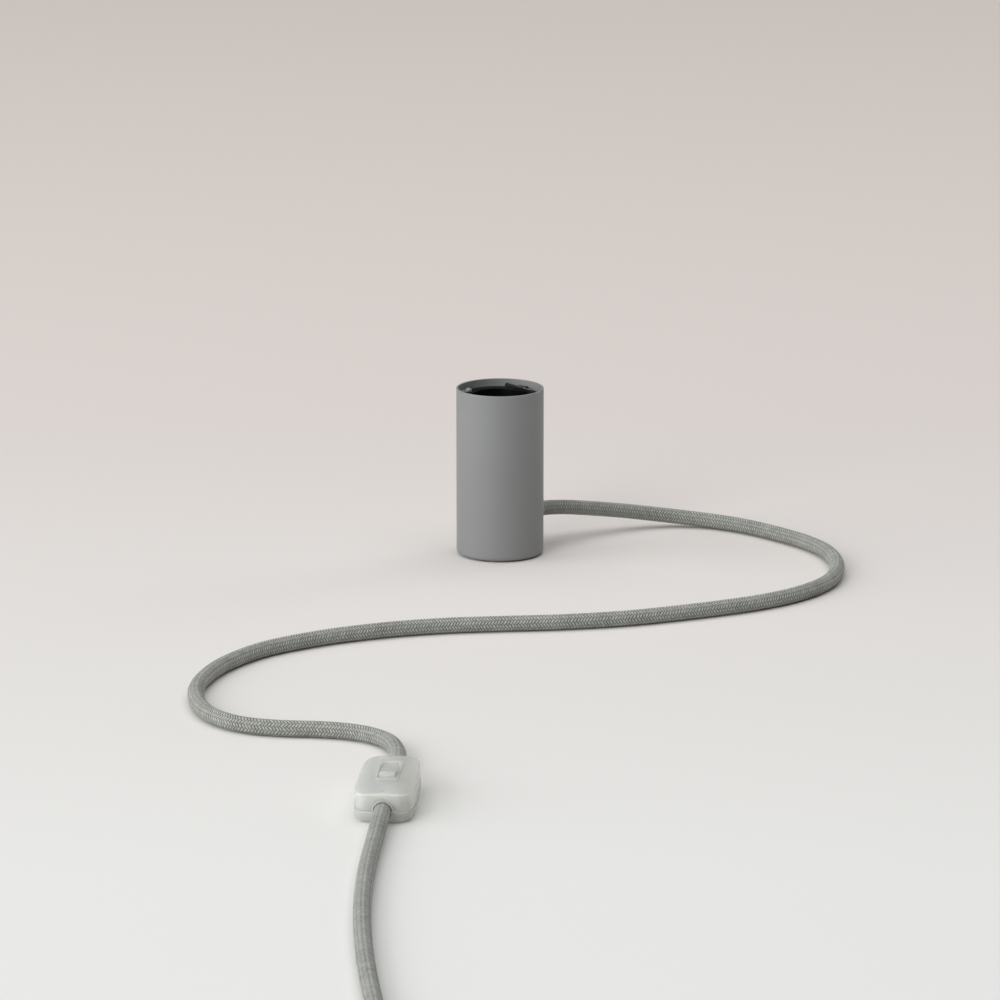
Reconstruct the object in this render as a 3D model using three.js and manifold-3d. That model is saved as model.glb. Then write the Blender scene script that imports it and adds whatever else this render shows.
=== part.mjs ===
// Plug-in lamp cord: a cylinder lamp holder for an E27 bulb, a braided cord on the floor,
// an in-line rocker switch on it, the rest of the cord in a coil, and a flat two-pin plug.
// Millimetres, +Z up. The lamp holder stands on the floor at the origin, seen from -Y.
import * as THREE from "three";
import { mergeVertices } from "three/addons/utils/BufferGeometryUtils.js";
import Module from "manifold-3d";

const wasm = await Module();
wasm.setup();

// Clearances
const GAP = 0.3; // between pieces that touch in the real object
const BITE = 1; // how far a cutter runs past the face it cuts

// Housing of the lamp holder
const SLEEVE_RADIUS = 21.5;
const SLEEVE_HEIGHT = 83.7;
const SLEEVE_WALL = 1;
const SLEEVE_FLOOR = 1.5;
const SLEEVE_EDGE = 2; // radius of the bottom edge
const RIM_CHAMFER = 0.3;
const PAD_INSET = 4.5; // from the outside of the housing
const PAD_RADIUS = SLEEVE_RADIUS - PAD_INSET;
const PAD_THICKNESS = 1;
const PAD_PROUD = 0.5; // how far the pad stands out below the housing
const BORE_RADIUS = SLEEVE_RADIUS - SLEEVE_WALL;
const FLOOR_TOP = PAD_THICKNESS + SLEEVE_FLOOR;

// Weight and the bracket on it
const WEIGHT_RADIUS = BORE_RADIUS - 0.5;
const WEIGHT_EDGE = 2; // bevel that clears the round inside the housing's foot
const WEIGHT_TOP = 12;
const BASE_SCREW_Y = PAD_RADIUS - 5;
const BASE_SCREW_LENGTH = 4;
const BASE_SCREW_HEAD = 3.1;
const BASE_SCREW_THREAD = 1.9;
const BRACKET_THICKNESS = 1.5;
const BRACKET_HALF_WIDTH = 7;
const BRACKET_LEG_X = 4.5 - SLEEVE_RADIUS;
const BRACKET_FLANGE_END = -3;
const BRACKET_PLATE_END = 11;
const BRACKET_TOP = 32.5;
const BRACKET_SCREW_X = -9;
const BRACKET_SCREW_THREAD = 2.3;
const HOLDER_SCREW_X = 8;
const SMALL_SCREW_THREAD = 1.8; // holder screws and cord grip screws

// Bulb holder
const SKIRT_RADIUS = BORE_RADIUS - 1.6;
const BASE_RADIUS = SKIRT_RADIUS - 1.9;
const BASE_TOP = 48;
const SKIRT_BOTTOM = 34;
const SKIRT_TOP = 80.4;
const MOUTH_RADIUS = 14.1;
const SHELL_RADIUS = 13; // middle of the E27 thread
const SHELL_WAVE = 0.45;
const SHELL_WALL = 0.35;
const SHELL_PITCH = 3.63;
const SHELL_TURNS = 7;
const SHELL_HOLE = 7;
const TERMINAL_Y = BASE_RADIUS - 6;
const TERMINAL_SIDE = 6;
const TERMINAL_BOTTOM = 36;
const TERMINAL_TOP = 44;
const TERMINAL_SCREW_Z = 41;
const STRIP_WIDTH = 5;
const STRIP_THICKNESS = 0.5;
const CLIP_INNER = SKIRT_RADIUS + 0.4;
const CLIP_THICKNESS = 0.5;
const CLIP_WIDTH = 6;
const CLIP_BOTTOM = 60;
const CLIP_TAB_BOTTOM = SKIRT_TOP + GAP;
const CLIP_TAB_TOP = CLIP_TAB_BOTTOM + CLIP_THICKNESS;
const LEFT_CLIP_DEG = 167;
const RIGHT_CLIP_DEG = 53;
const NUB_RADIUS = 1.7;
const NUB_AT = (MOUTH_RADIUS + SKIRT_RADIUS) / 2 - 0.6;
const FIN_AT = MOUTH_RADIUS - 0.05;
const FIN_HEIGHT = 1.7;
const FIN_HALF_LENGTH = 8.3;

// Cord and its way out of the housing
const CORD_RADIUS = 3.7;
const CORD_SIDES = 8;
const CORD_STEP = 18;
const EXIT_DEG = 45;
const EXIT_Z = 17.5;
const EXIT_RADIUS = SLEEVE_RADIUS + 0.7;
const CORD_BORE = CORD_RADIUS + GAP;
const BUSHING_RADIUS = CORD_BORE + 0.6;
const WIRE_RADIUS = 1.1;
const GRIP_OUTER = BORE_RADIUS - 5;
const GRIP_INNER = GRIP_OUTER - 7;
const GRIP_MIDDLE = (GRIP_INNER + GRIP_OUTER) / 2;
const GRIP_HALF_WIDTH = 9;
const GRIP_SCREW_OFFSET = 6.5;
const BUSHING_INSIDE = BORE_RADIUS - 2.8;
const BUSHING_FLANGE = 1.3;

// In-line switch, in its own frame: the lamp side is +y, the plug side -y
const SWITCH_X = -47.1;
const SWITCH_Y = -441.1;
const SWITCH_TURN_DEG = -4;
const CASE_LENGTH = 60;
const CASE_END_HALF = 12.2;
const CASE_MID_HALF = 12.9;
const CASE_CORNER = 5;
const CASE_HEIGHT = 14;
const CASE_WALL = 1.6;
const CASE_ROUND = 2.4;
const CASE_PARTING = 5.4;
const ENTRY_COLLAR = 0.8;
const WELL_HALF_WIDTH = 4.5;
const WELL_HALF_LENGTH = 13;
const WELL_RIM = 1;
const WELL_RIM_HEIGHT = 0.6;
const BUTTON_Y = 2;
const BUTTON_HALF_LENGTH = 11.5;
const BUTTON_HALF_WIDTH = 3.6;
const BUTTON_TOP = 4.7; // above its pivot
const BUTTON_SAG = 1.2; // depth of the curve that shapes its hollow top
const BUTTON_REST_DEG = 4;
const PIVOT_Z = 11.2;
const PIN_RADIUS = 1;
const PIN_HOLE = PIN_RADIUS + 0.25;
const EAR_INNER = WELL_HALF_WIDTH + 0.1;
const EAR_OUTER = 6.3;
const CASE_SCREW_X = 9.2;
const CASE_SCREW_Y = 23;
const CORD_END_Y = 21;
const WIRE_START_Y = CORD_END_Y - 1.1;
const SWITCH_TERMINAL_Y = 12;

// Coil of the length that the photograph doesn't show, and the plug beside it
const COIL_X = 0;
const COIL_Y = -825;
const COIL_RADIUS = 40.5;
const COIL_BASE = 0.7;
const COIL_LAYERS = 3;
const TIE_THICKNESS = 0.4;
const TIE_WIDTH = 12;
const PLUG_X = 94;
const PLUG_Y = -868;
const PLUG_LENGTH = 38;
const PLUG_HALF_WIDTH = 17.65;
const PLUG_THICKNESS = 13.7;
const PLUG_ROUND = 1.6;
const RELIEF_LENGTH = 28;
const PIN_LENGTH = 19;
const PIN_SPACING_BASE = 18.6;
const PIN_SPACING_TIP = 17.5;
const PIN_TIP_RADIUS = 2;
const PIN_CORE_RADIUS = 1.3;
const PIN_SLEEVE_RADIUS = 1.9;
const PIN_SLEEVE_LENGTH = 10;
const PIN_ROOT = 6;
const PIN_RECESS = 1; // shallow seat round each pin in the plug's face

// Routes of the free cord
const ROUTE_TO_SWITCH = [
  polar(EXIT_RADIUS, EXIT_DEG, EXIT_Z),
  [22, 21.8, 17.5],
  [30.5, 28.3, 16.4],
  [40.5, 35.6, 14.3],
  [60.5, 47.5, 10],
  [80.5, 54, 6.3],
  [100.5, 52.3, 4.3],
  [120.5, 42, 3.7],
  [143.5, 18, 3.7],
  [154.5, 2, 3.7],
  [161.5, -15, 3.7],
  [164.5, -40, 3.7],
  [160.5, -67, 3.7],
  [151.5, -85.5, 3.7],
  [138.5, -101, 3.7],
  [122, -114, 3.7],
  [104, -124, 3.7],
  [85, -133, 3.7],
  [60, -143, 3.7],
  [30, -150, 3.7],
  [0, -153.5, 3.7],
  [-23.5, -156.5, 3.7],
  [-47, -162.5, 3.7],
  [-65.5, -170, 3.7],
  [-84, -180, 3.7],
  [-108, -199, 3.7],
  [-122.5, -219.5, 3.7],
  [-132, -242, 3.7],
  [-137, -272, 3.7],
  [-133, -302, 3.7],
  [-124, -320, 3.7],
  [-112, -330.5, 3.7],
  [-97, -335.5, 3.7],
  [-80, -337.3, 3.7],
  [-66.5, -341, 3.7],
  [-55.5, -348, 3.7],
  [-48.2, -358.5, 3.7],
  [-44.7, -374, 3.9],
  [-44.1, -393, 4.9],
  [-45, -411.2, 5.4],
  [-45.6, -420.2, 5.4],
];
const ROUTE_TO_COIL = [
  [-48.5, -462, 5.4],
  [-49.2, -471, 5.4],
  [-50.5, -488, 4.7],
  [-51.8, -507, 3.8],
  [-53.5, -535, 3.7],
  [-54.5, -563, 3.7],
  [-54.8, -592, 3.7],
  [-54.3, -622, 3.7],
  [-52.8, -655, 3.7],
  [-50.2, -692, 3.7],
  [-47.2, -725, 3.7],
  [-44.2, -755, 3.7],
  [-41.8, -780, 3.9],
  [-40.7, -800.6, 4.2],
];
const ROUTE_TO_PLUG = [
  [23.2, -866.1, 18.8],
  [38, -867.4, 15],
  [50, -868, 10.5],
  [60, -868, 7.6],
  [66, -868, 6.85],
  [80, -868, 6.85],
  [93.7, -868, 6.85],
];

// Materials of the drawing
const finishes = {
  paint: { color: "#a3a4a1", roughness: 0.6, metalness: 0.1 },
  steel: { color: "#9b9da0", roughness: 0.35, metalness: 0.9 },
  iron: { color: "#4f5153", roughness: 0.6, metalness: 0.7 },
  brass: { color: "#b79a55", roughness: 0.35, metalness: 0.9 },
  nickel: { color: "#b9bbbd", roughness: 0.2, metalness: 1 },
  black: { color: "#17181a", roughness: 0.45, metalness: 0 },
  rubber: { color: "#2a2b2c", roughness: 0.8, metalness: 0 },
  felt: { color: "#4a4b4a", roughness: 0.95, metalness: 0 },
  clear: { color: "#c9ccc8", roughness: 0.3, metalness: 0 },
  braid: { color: "#8d918a", roughness: 0.9, metalness: 0 },
  brown: { color: "#5b3a26", roughness: 0.5, metalness: 0 },
  blue: { color: "#2d5d91", roughness: 0.5, metalness: 0 },
  strap: { color: "#6f726d", roughness: 0.9, metalness: 0 },
};

// Geometry and solids
function solidOf(geometry) {
  const bare = geometry.clone();
  bare.deleteAttribute("normal");
  bare.deleteAttribute("uv");
  const merged = mergeVertices(bare, 1e-4);
  const corners = merged.index.array;
  const kept = [];
  for (let i = 0; i < corners.length; i += 3) {
    const [a, b, c] = [corners[i], corners[i + 1], corners[i + 2]];
    if (a !== b && b !== c && c !== a) kept.push(a, b, c);
  }
  const vertProperties = merged.attributes.position.array;
  const triVerts = new Uint32Array(kept);
  return new wasm.Manifold(new wasm.Mesh({ numProp: 3, vertProperties, triVerts }));
}

function geometryOf(solid) {
  const mesh = solid.getMesh();
  const shared = new THREE.BufferGeometry();
  shared.setAttribute("position", new THREE.BufferAttribute(mesh.vertProperties, 3));
  shared.setIndex(new THREE.BufferAttribute(mesh.triVerts, 1));
  const geometry = shared.toNonIndexed();
  geometry.computeVertexNormals();
  return geometry;
}

function join(first, ...others) {
  let solid = solidOf(first);
  for (const other of others) solid = solid.add(solidOf(other));
  return geometryOf(solid);
}

function cut(first, ...others) {
  let solid = solidOf(first);
  for (const other of others) solid = solid.subtract(solidOf(other));
  return geometryOf(solid);
}

function common(first, second) {
  return geometryOf(solidOf(first).intersect(solidOf(second)));
}

// A box between two corners
function block([x0, y0, z0], [x1, y1, z1]) {
  const geometry = new THREE.BoxGeometry(x1 - x0, y1 - y0, z1 - z0);
  return geometry.translate((x0 + x1) / 2, (y0 + y1) / 2, (z0 + z1) / 2);
}

// A turned piece on the z axis from its outline of [radius, height] points
function turned(outline, segments = 32) {
  let area = 0;
  outline.forEach(([r, z], i) => {
    const [nextR, nextZ] = outline[(i + 1) % outline.length];
    area += r * nextZ - nextR * z;
  });
  const points = outline.map(([r, z]) => new THREE.Vector2(r, z));
  if (area < 0) points.reverse();
  const open = points[0].x === 0 && points[points.length - 1].x === 0;
  if (!open) points.push(points[0].clone());
  return new THREE.LatheGeometry(points, segments).rotateX(Math.PI / 2);
}

// A cylinder on the z axis
function rod(radius, z0, z1, segments = 16) {
  return turned([[0, z0], [radius, z0], [radius, z1], [0, z1]], segments);
}

// A pipe on the z axis
function pipe(outer, inner, z0, z1, segments = 24) {
  return turned([[inner, z0], [outer, z0], [outer, z1], [inner, z1]], segments);
}

// Points of a quarter circle round [r, z], from one angle in degrees to another
function arc([r, z], radius, from, to, steps = 3) {
  return Array.from({ length: steps + 1 }, (_, i) => {
    const angle = THREE.MathUtils.degToRad(from + ((to - from) * i) / steps);
    return [r + radius * Math.cos(angle), z + radius * Math.sin(angle)];
  });
}

// A round tube through the points of a route
function tube(route, radius, step = CORD_STEP, sides = CORD_SIDES) {
  const points = route.map((point) => new THREE.Vector3(...point));
  const path = new THREE.CatmullRomCurve3(points, false, "centripetal");
  const section = new THREE.Shape();
  for (let i = 0; i < sides; i += 1) {
    const angle = (2 * Math.PI * (i + 0.5)) / sides;
    const point = [radius * Math.cos(angle), radius * Math.sin(angle)];
    if (i) section.lineTo(...point);
    else section.moveTo(...point);
  }
  const steps = Math.max(3, Math.round(path.getLength() / step));
  return new THREE.ExtrudeGeometry(section, { extrudePath: path, steps });
}

// A flat strip of metal bent along [y, z] points, centred on x = 0
function bentStrip(points, thickness, width) {
  const side = (sign) =>
    points.map((point, i) => {
      const before = points[Math.max(0, i - 1)];
      const after = points[Math.min(points.length - 1, i + 1)];
      const along = new THREE.Vector2(after[0] - before[0], after[1] - before[1]).normalize();
      const off = (sign * thickness) / 2;
      return new THREE.Vector2(point[0] - along.y * off, point[1] + along.x * off);
    });
  const shape = new THREE.Shape([...side(1), ...side(-1).reverse()]);
  const geometry = new THREE.ExtrudeGeometry(shape, { depth: width, bevelEnabled: false });
  return uprightSection(geometry, width);
}

// Turns a section drawn in (y, z) and extruded by depth so that the depth runs along x
function uprightSection(geometry, depth) {
  const turn = new THREE.Matrix4().makeBasis(
    new THREE.Vector3(0, 1, 0),
    new THREE.Vector3(0, 0, 1),
    new THREE.Vector3(1, 0, 0),
  );
  return geometry.applyMatrix4(turn).translate(-depth / 2, 0, 0);
}

// Puts a piece made along +z with its foot at the origin onto a radius at a given angle and height,
// so that its own +z points away from the housing's axis
function onRadius(geometry, degrees, height, radius = 0) {
  geometry.translate(0, 0, radius);
  geometry.rotateY(Math.PI / 2);
  geometry.rotateZ(THREE.MathUtils.degToRad(degrees));
  return geometry.translate(0, 0, height);
}

function spun(geometry, degrees) {
  return geometry.rotateZ(THREE.MathUtils.degToRad(degrees));
}

function polar(radius, degrees, z) {
  const angle = THREE.MathUtils.degToRad(degrees);
  return [radius * Math.cos(angle), radius * Math.sin(angle), z];
}

const group = new THREE.Group();
group.name = "plug_in_lamp_cord";
const switchGroup = new THREE.Group();
switchGroup.position.set(SWITCH_X, SWITCH_Y, 0);
switchGroup.rotation.z = THREE.MathUtils.degToRad(SWITCH_TURN_DEG);
group.add(switchGroup);
const plugGroup = new THREE.Group();
plugGroup.position.set(PLUG_X, PLUG_Y, PLUG_THICKNESS / 2);
group.add(plugGroup);

function piece(name, geometry, finish, parent = group) {
  const material = new THREE.MeshStandardMaterial(finishes[finish]);
  const mesh = new THREE.Mesh(geometry, material);
  mesh.name = name;
  parent.add(mesh);
}

// A screw on the z axis: its head from z = 0 up, its shank below
function screw(headRadius, headHeight, shankRadius, shankLength) {
  const slotHalf = headRadius / 6;
  const body = turned(
    [
      [0, -shankLength],
      [shankRadius, -shankLength],
      [shankRadius, 0],
      [headRadius, 0],
      [headRadius, headHeight * 0.6],
      [headRadius * 0.7, headHeight],
      [0, headHeight],
    ],
    8,
  );
  const slot = block(
    [-headRadius - BITE, -slotHalf, headHeight * 0.55],
    [headRadius + BITE, slotHalf, headHeight + BITE],
  );
  return cut(body, slot);
}

// Housing: a drawn metal cup with a hole for the cord low in its right rear
function makeSleeve() {
  const underside = PAD_PROUD;
  const cup = turned(
    [
      [0, PAD_THICKNESS],
      [PAD_RADIUS + GAP, PAD_THICKNESS],
      [PAD_RADIUS + GAP, underside],
      ...arc([SLEEVE_RADIUS - SLEEVE_EDGE, underside + SLEEVE_EDGE], SLEEVE_EDGE, -90, 0),
      [SLEEVE_RADIUS, SLEEVE_HEIGHT - RIM_CHAMFER],
      [SLEEVE_RADIUS - RIM_CHAMFER, SLEEVE_HEIGHT],
      [BORE_RADIUS + RIM_CHAMFER, SLEEVE_HEIGHT],
      [BORE_RADIUS, SLEEVE_HEIGHT - RIM_CHAMFER],
      ...arc([BORE_RADIUS - SLEEVE_EDGE, FLOOR_TOP + SLEEVE_EDGE], SLEEVE_EDGE, 0, -90),
      [0, FLOOR_TOP],
    ],
    48,
  );
  const cordHole = onRadius(rod(BUSHING_RADIUS + GAP, 0, 10), EXIT_DEG, EXIT_Z, BORE_RADIUS - 5);
  const headHole = BASE_SCREW_HEAD + 0.4;
  const screwHoles = [1, -1].map((side) =>
    rod(headHole, PAD_THICKNESS - BITE, FLOOR_TOP + BITE).translate(0, side * BASE_SCREW_Y, 0),
  );
  piece("sleeve", cut(cup, cordHole, ...screwHoles), "paint");
  piece("foot_pad", rod(PAD_RADIUS, 0, PAD_THICKNESS, 40), "felt");
}

// Steel weight in the foot, held by two screws from below
function makeWeight() {
  const disc = turned(
    [
      [0, FLOOR_TOP],
      [WEIGHT_RADIUS - WEIGHT_EDGE, FLOOR_TOP],
      [WEIGHT_RADIUS, FLOOR_TOP + WEIGHT_EDGE + GAP],
      [WEIGHT_RADIUS, WEIGHT_TOP - 0.5],
      [WEIGHT_RADIUS - 0.5, WEIGHT_TOP],
      [0, WEIGHT_TOP],
    ],
    40,
  );
  const threadTop = FLOOR_TOP + BASE_SCREW_LENGTH + GAP;
  const threads = [1, -1].map((side) =>
    rod(BASE_SCREW_THREAD, 0, threadTop, 12).translate(0, side * BASE_SCREW_Y, 0),
  );
  const bracketThread = rod(BRACKET_SCREW_THREAD, 5, WEIGHT_TOP + BITE, 12);
  bracketThread.translate(BRACKET_SCREW_X, 0, 0);
  const gripThreads = [1, -1].map((side) => {
    const thread = rod(SMALL_SCREW_THREAD, threadTop, WEIGHT_TOP + BITE, 12);
    return spun(thread.translate(GRIP_MIDDLE, side * GRIP_SCREW_OFFSET, 0), EXIT_DEG);
  });
  piece("ballast_weight", cut(disc, ...threads, bracketThread, ...gripThreads), "iron");
  [1, -1].forEach((side, i) => {
    const fixing = screw(BASE_SCREW_HEAD, SLEEVE_FLOOR - GAP, 1.5, BASE_SCREW_LENGTH).rotateX(Math.PI);
    fixing.translate(0, side * BASE_SCREW_Y, FLOOR_TOP);
    piece(`base_screw_${i + 1}`, fixing, "steel");
  });
}

// Bent steel bracket that carries the bulb holder above the cord grip
function makeBracket() {
  const flange = block(
    [BRACKET_LEG_X, -BRACKET_HALF_WIDTH, WEIGHT_TOP],
    [BRACKET_FLANGE_END, BRACKET_HALF_WIDTH, WEIGHT_TOP + BRACKET_THICKNESS],
  );
  const leg = block(
    [BRACKET_LEG_X, -BRACKET_HALF_WIDTH, WEIGHT_TOP],
    [BRACKET_LEG_X + BRACKET_THICKNESS, BRACKET_HALF_WIDTH, BRACKET_TOP],
  );
  const plate = block(
    [BRACKET_LEG_X, -BRACKET_HALF_WIDTH, BRACKET_TOP - BRACKET_THICKNESS],
    [BRACKET_PLATE_END, BRACKET_HALF_WIDTH, BRACKET_TOP],
  );
  const flangeHole = rod(BRACKET_SCREW_THREAD, WEIGHT_TOP - BITE, WEIGHT_TOP + 3, 12);
  flangeHole.translate(BRACKET_SCREW_X, 0, 0);
  const plateHoles = [1, -1].map((side) =>
    rod(SMALL_SCREW_THREAD, BRACKET_TOP - 3, BRACKET_TOP + BITE, 12).translate(side * HOLDER_SCREW_X, 0, 0),
  );
  piece("holder_bracket", cut(join(flange, leg, plate), flangeHole, ...plateHoles), "steel");
  const bracketScrew = screw(3.6, 2.2, 2, WEIGHT_TOP + BRACKET_THICKNESS - 5.5);
  bracketScrew.translate(BRACKET_SCREW_X, 0, WEIGHT_TOP + BRACKET_THICKNESS);
  piece("bracket_screw", bracketScrew, "steel");
  [1, -1].forEach((side, i) => {
    const holderScrew = screw(2.8, 1.8, 1.5, 7.5).rotateX(Math.PI);
    holderScrew.translate(side * HOLDER_SCREW_X, 0, BRACKET_TOP - BRACKET_THICKNESS);
    piece(`holder_screw_${i + 1}`, holderScrew, "steel");
  });
}

// Bulb holder: base with two terminals, screw shell, contacts and the skirt round them
function makeHolder() {
  const well = TERMINAL_SIDE / 2 + 0.5;
  const base = rod(BASE_RADIUS, BRACKET_TOP, BASE_TOP, 40);
  const wells = [1, -1].map((side) =>
    block(
      [-well, side * TERMINAL_Y - well, TERMINAL_BOTTOM - GAP],
      [well, side * TERMINAL_Y + well, BASE_TOP + BITE],
    ),
  );
  const wireHoles = [1, -1].map((side) =>
    rod(WIRE_RADIUS + 0.5, BRACKET_TOP - BITE, TERMINAL_BOTTOM + BITE, 12)
      .translate(0, side * TERMINAL_Y, 0),
  );
  const screwWays = [1, -1].map((side) =>
    onRadius(rod(2.2, 0, 8, 12), 90 * side, TERMINAL_SCREW_Z, BASE_RADIUS - 5),
  );
  const channel = block([-well, -4, BASE_TOP - 2.5], [well, TERMINAL_Y - 2, BASE_TOP + BITE]);
  const screwThreads = [1, -1].map((side) =>
    rod(SMALL_SCREW_THREAD, BRACKET_TOP - BITE, BRACKET_TOP + 7, 12)
      .translate(side * HOLDER_SCREW_X, 0, 0),
  );
  const cutters = [...wells, ...wireHoles, ...screwWays, channel, ...screwThreads];
  piece("holder_base", cut(base, ...cutters), "black");

  const skirt = turned(
    [
      [BASE_RADIUS + GAP, SKIRT_BOTTOM],
      [SKIRT_RADIUS, SKIRT_BOTTOM],
      [SKIRT_RADIUS, SKIRT_TOP - 0.5],
      [SKIRT_RADIUS - 0.5, SKIRT_TOP],
      [MOUTH_RADIUS + 0.6, SKIRT_TOP],
      [MOUTH_RADIUS, SKIRT_TOP - 0.6],
      [MOUTH_RADIUS, BASE_TOP + GAP],
      [BASE_RADIUS + GAP, BASE_TOP + GAP],
    ],
    36,
  );
  piece("holder_skirt", skirt, "black");

  const shellBottom = BASE_TOP + GAP;
  const wave = (offset) =>
    Array.from({ length: SHELL_TURNS * 2 + 1 }, (_, i) => [
      SHELL_RADIUS + offset - SHELL_WAVE * Math.cos(Math.PI * i),
      shellBottom + 0.8 + (SHELL_PITCH * i) / 2,
    ]);
  const shell = turned(
    [
      [SHELL_HOLE, shellBottom],
      [SHELL_RADIUS - SHELL_WAVE + SHELL_WALL / 2, shellBottom],
      ...wave(SHELL_WALL / 2),
      ...wave(-SHELL_WALL / 2).reverse(),
      [SHELL_RADIUS - SHELL_WAVE - SHELL_WALL / 2, shellBottom + SHELL_WALL],
      [SHELL_HOLE, shellBottom + SHELL_WALL],
    ],
    22,
  );
  piece("screw_shell", shell, "nickel");

  const seat = TERMINAL_TOP + GAP + STRIP_THICKNESS / 2; // middle of a strip on a terminal
  const centre = [
    [TERMINAL_Y + 2, seat],
    [TERMINAL_Y - 2.6, seat],
    [TERMINAL_Y - 3.1, seat + 2],
    [3, seat + 2],
    [-1.5, BASE_TOP + 2.4],
    [-3.2, BASE_TOP + 2],
  ];
  piece("centre_contact", bentStrip(centre, STRIP_THICKNESS, STRIP_WIDTH), "brass");
  const sideways = [
    [-TERMINAL_Y - 2, seat],
    [-TERMINAL_Y + 1.6, seat],
    [-TERMINAL_Y + 1.8, BASE_TOP - 0.1],
  ];
  piece("side_contact", bentStrip(sideways, STRIP_THICKNESS, STRIP_WIDTH), "brass");

  [["live", 1], ["neutral", -1]].forEach(([role, side]) => {
    const half = TERMINAL_SIDE / 2;
    const body = block(
      [-half, side * TERMINAL_Y - half, TERMINAL_BOTTOM],
      [half, side * TERMINAL_Y + half, TERMINAL_TOP],
    );
    const wireBore = rod(WIRE_RADIUS + GAP, TERMINAL_BOTTOM - BITE, TERMINAL_BOTTOM + 6, 12);
    wireBore.translate(0, side * TERMINAL_Y, 0);
    const thread = onRadius(rod(1.3, 0, 5, 12), 90 * side, TERMINAL_SCREW_Z, TERMINAL_Y + 1);
    piece(`terminal_${role}`, cut(body, wireBore, thread), "brass");
    const clamp = screw(1.8, 1.4, 1, 2);
    onRadius(clamp, 90 * side, TERMINAL_SCREW_Z, TERMINAL_Y + half + GAP);
    piece(`terminal_screw_${role}`, clamp, "brass");
  });
}

// Two spring clips that hold the skirt in the housing, their tips bent over its top
function makeClips() {
  const inner = CLIP_INNER;
  const outer = CLIP_INNER + CLIP_THICKNESS;
  const half = CLIP_WIDTH / 2;
  const leaf = () => block([inner, -half, CLIP_BOTTOM], [outer, half, CLIP_TAB_TOP]);
  const tab = (reach, width) =>
    block([reach, -width / 2, CLIP_TAB_BOTTOM], [outer, width / 2, CLIP_TAB_TOP]);

  const nubSeat = CLIP_TAB_BOTTOM + 0.2;
  const nub = turned(
    [
      [0, CLIP_TAB_BOTTOM],
      [NUB_RADIUS, CLIP_TAB_BOTTOM],
      ...arc([0, nubSeat], NUB_RADIUS, 0, 90, 4).slice(0, -1),
      [0, nubSeat + NUB_RADIUS],
    ],
    14,
  ).translate(NUB_AT, 0, 0);
  piece("retaining_clip_left", spun(join(leaf(), tab(NUB_AT, 2.6), nub), LEFT_CLIP_DEG), "steel");

  // The tip stands on edge as a low triangle, across the radius and a little ahead of the mouth
  const outline = new THREE.Shape([
    new THREE.Vector2(-FIN_HALF_LENGTH, 0),
    new THREE.Vector2(FIN_HALF_LENGTH, 0),
    new THREE.Vector2(FIN_HALF_LENGTH - 0.6, FIN_HEIGHT),
    new THREE.Vector2(-FIN_HALF_LENGTH, 0.35),
  ]);
  const fin = new THREE.ExtrudeGeometry(outline, { depth: CLIP_THICKNESS, bevelEnabled: false });
  uprightSection(fin, CLIP_THICKNESS).translate(FIN_AT, 0, CLIP_TAB_BOTTOM);
  const folded = join(leaf(), tab(FIN_AT - CLIP_THICKNESS / 4, 4), fin);
  piece("retaining_clip_right", spun(folded, RIGHT_CLIP_DEG), "steel");
}

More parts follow.
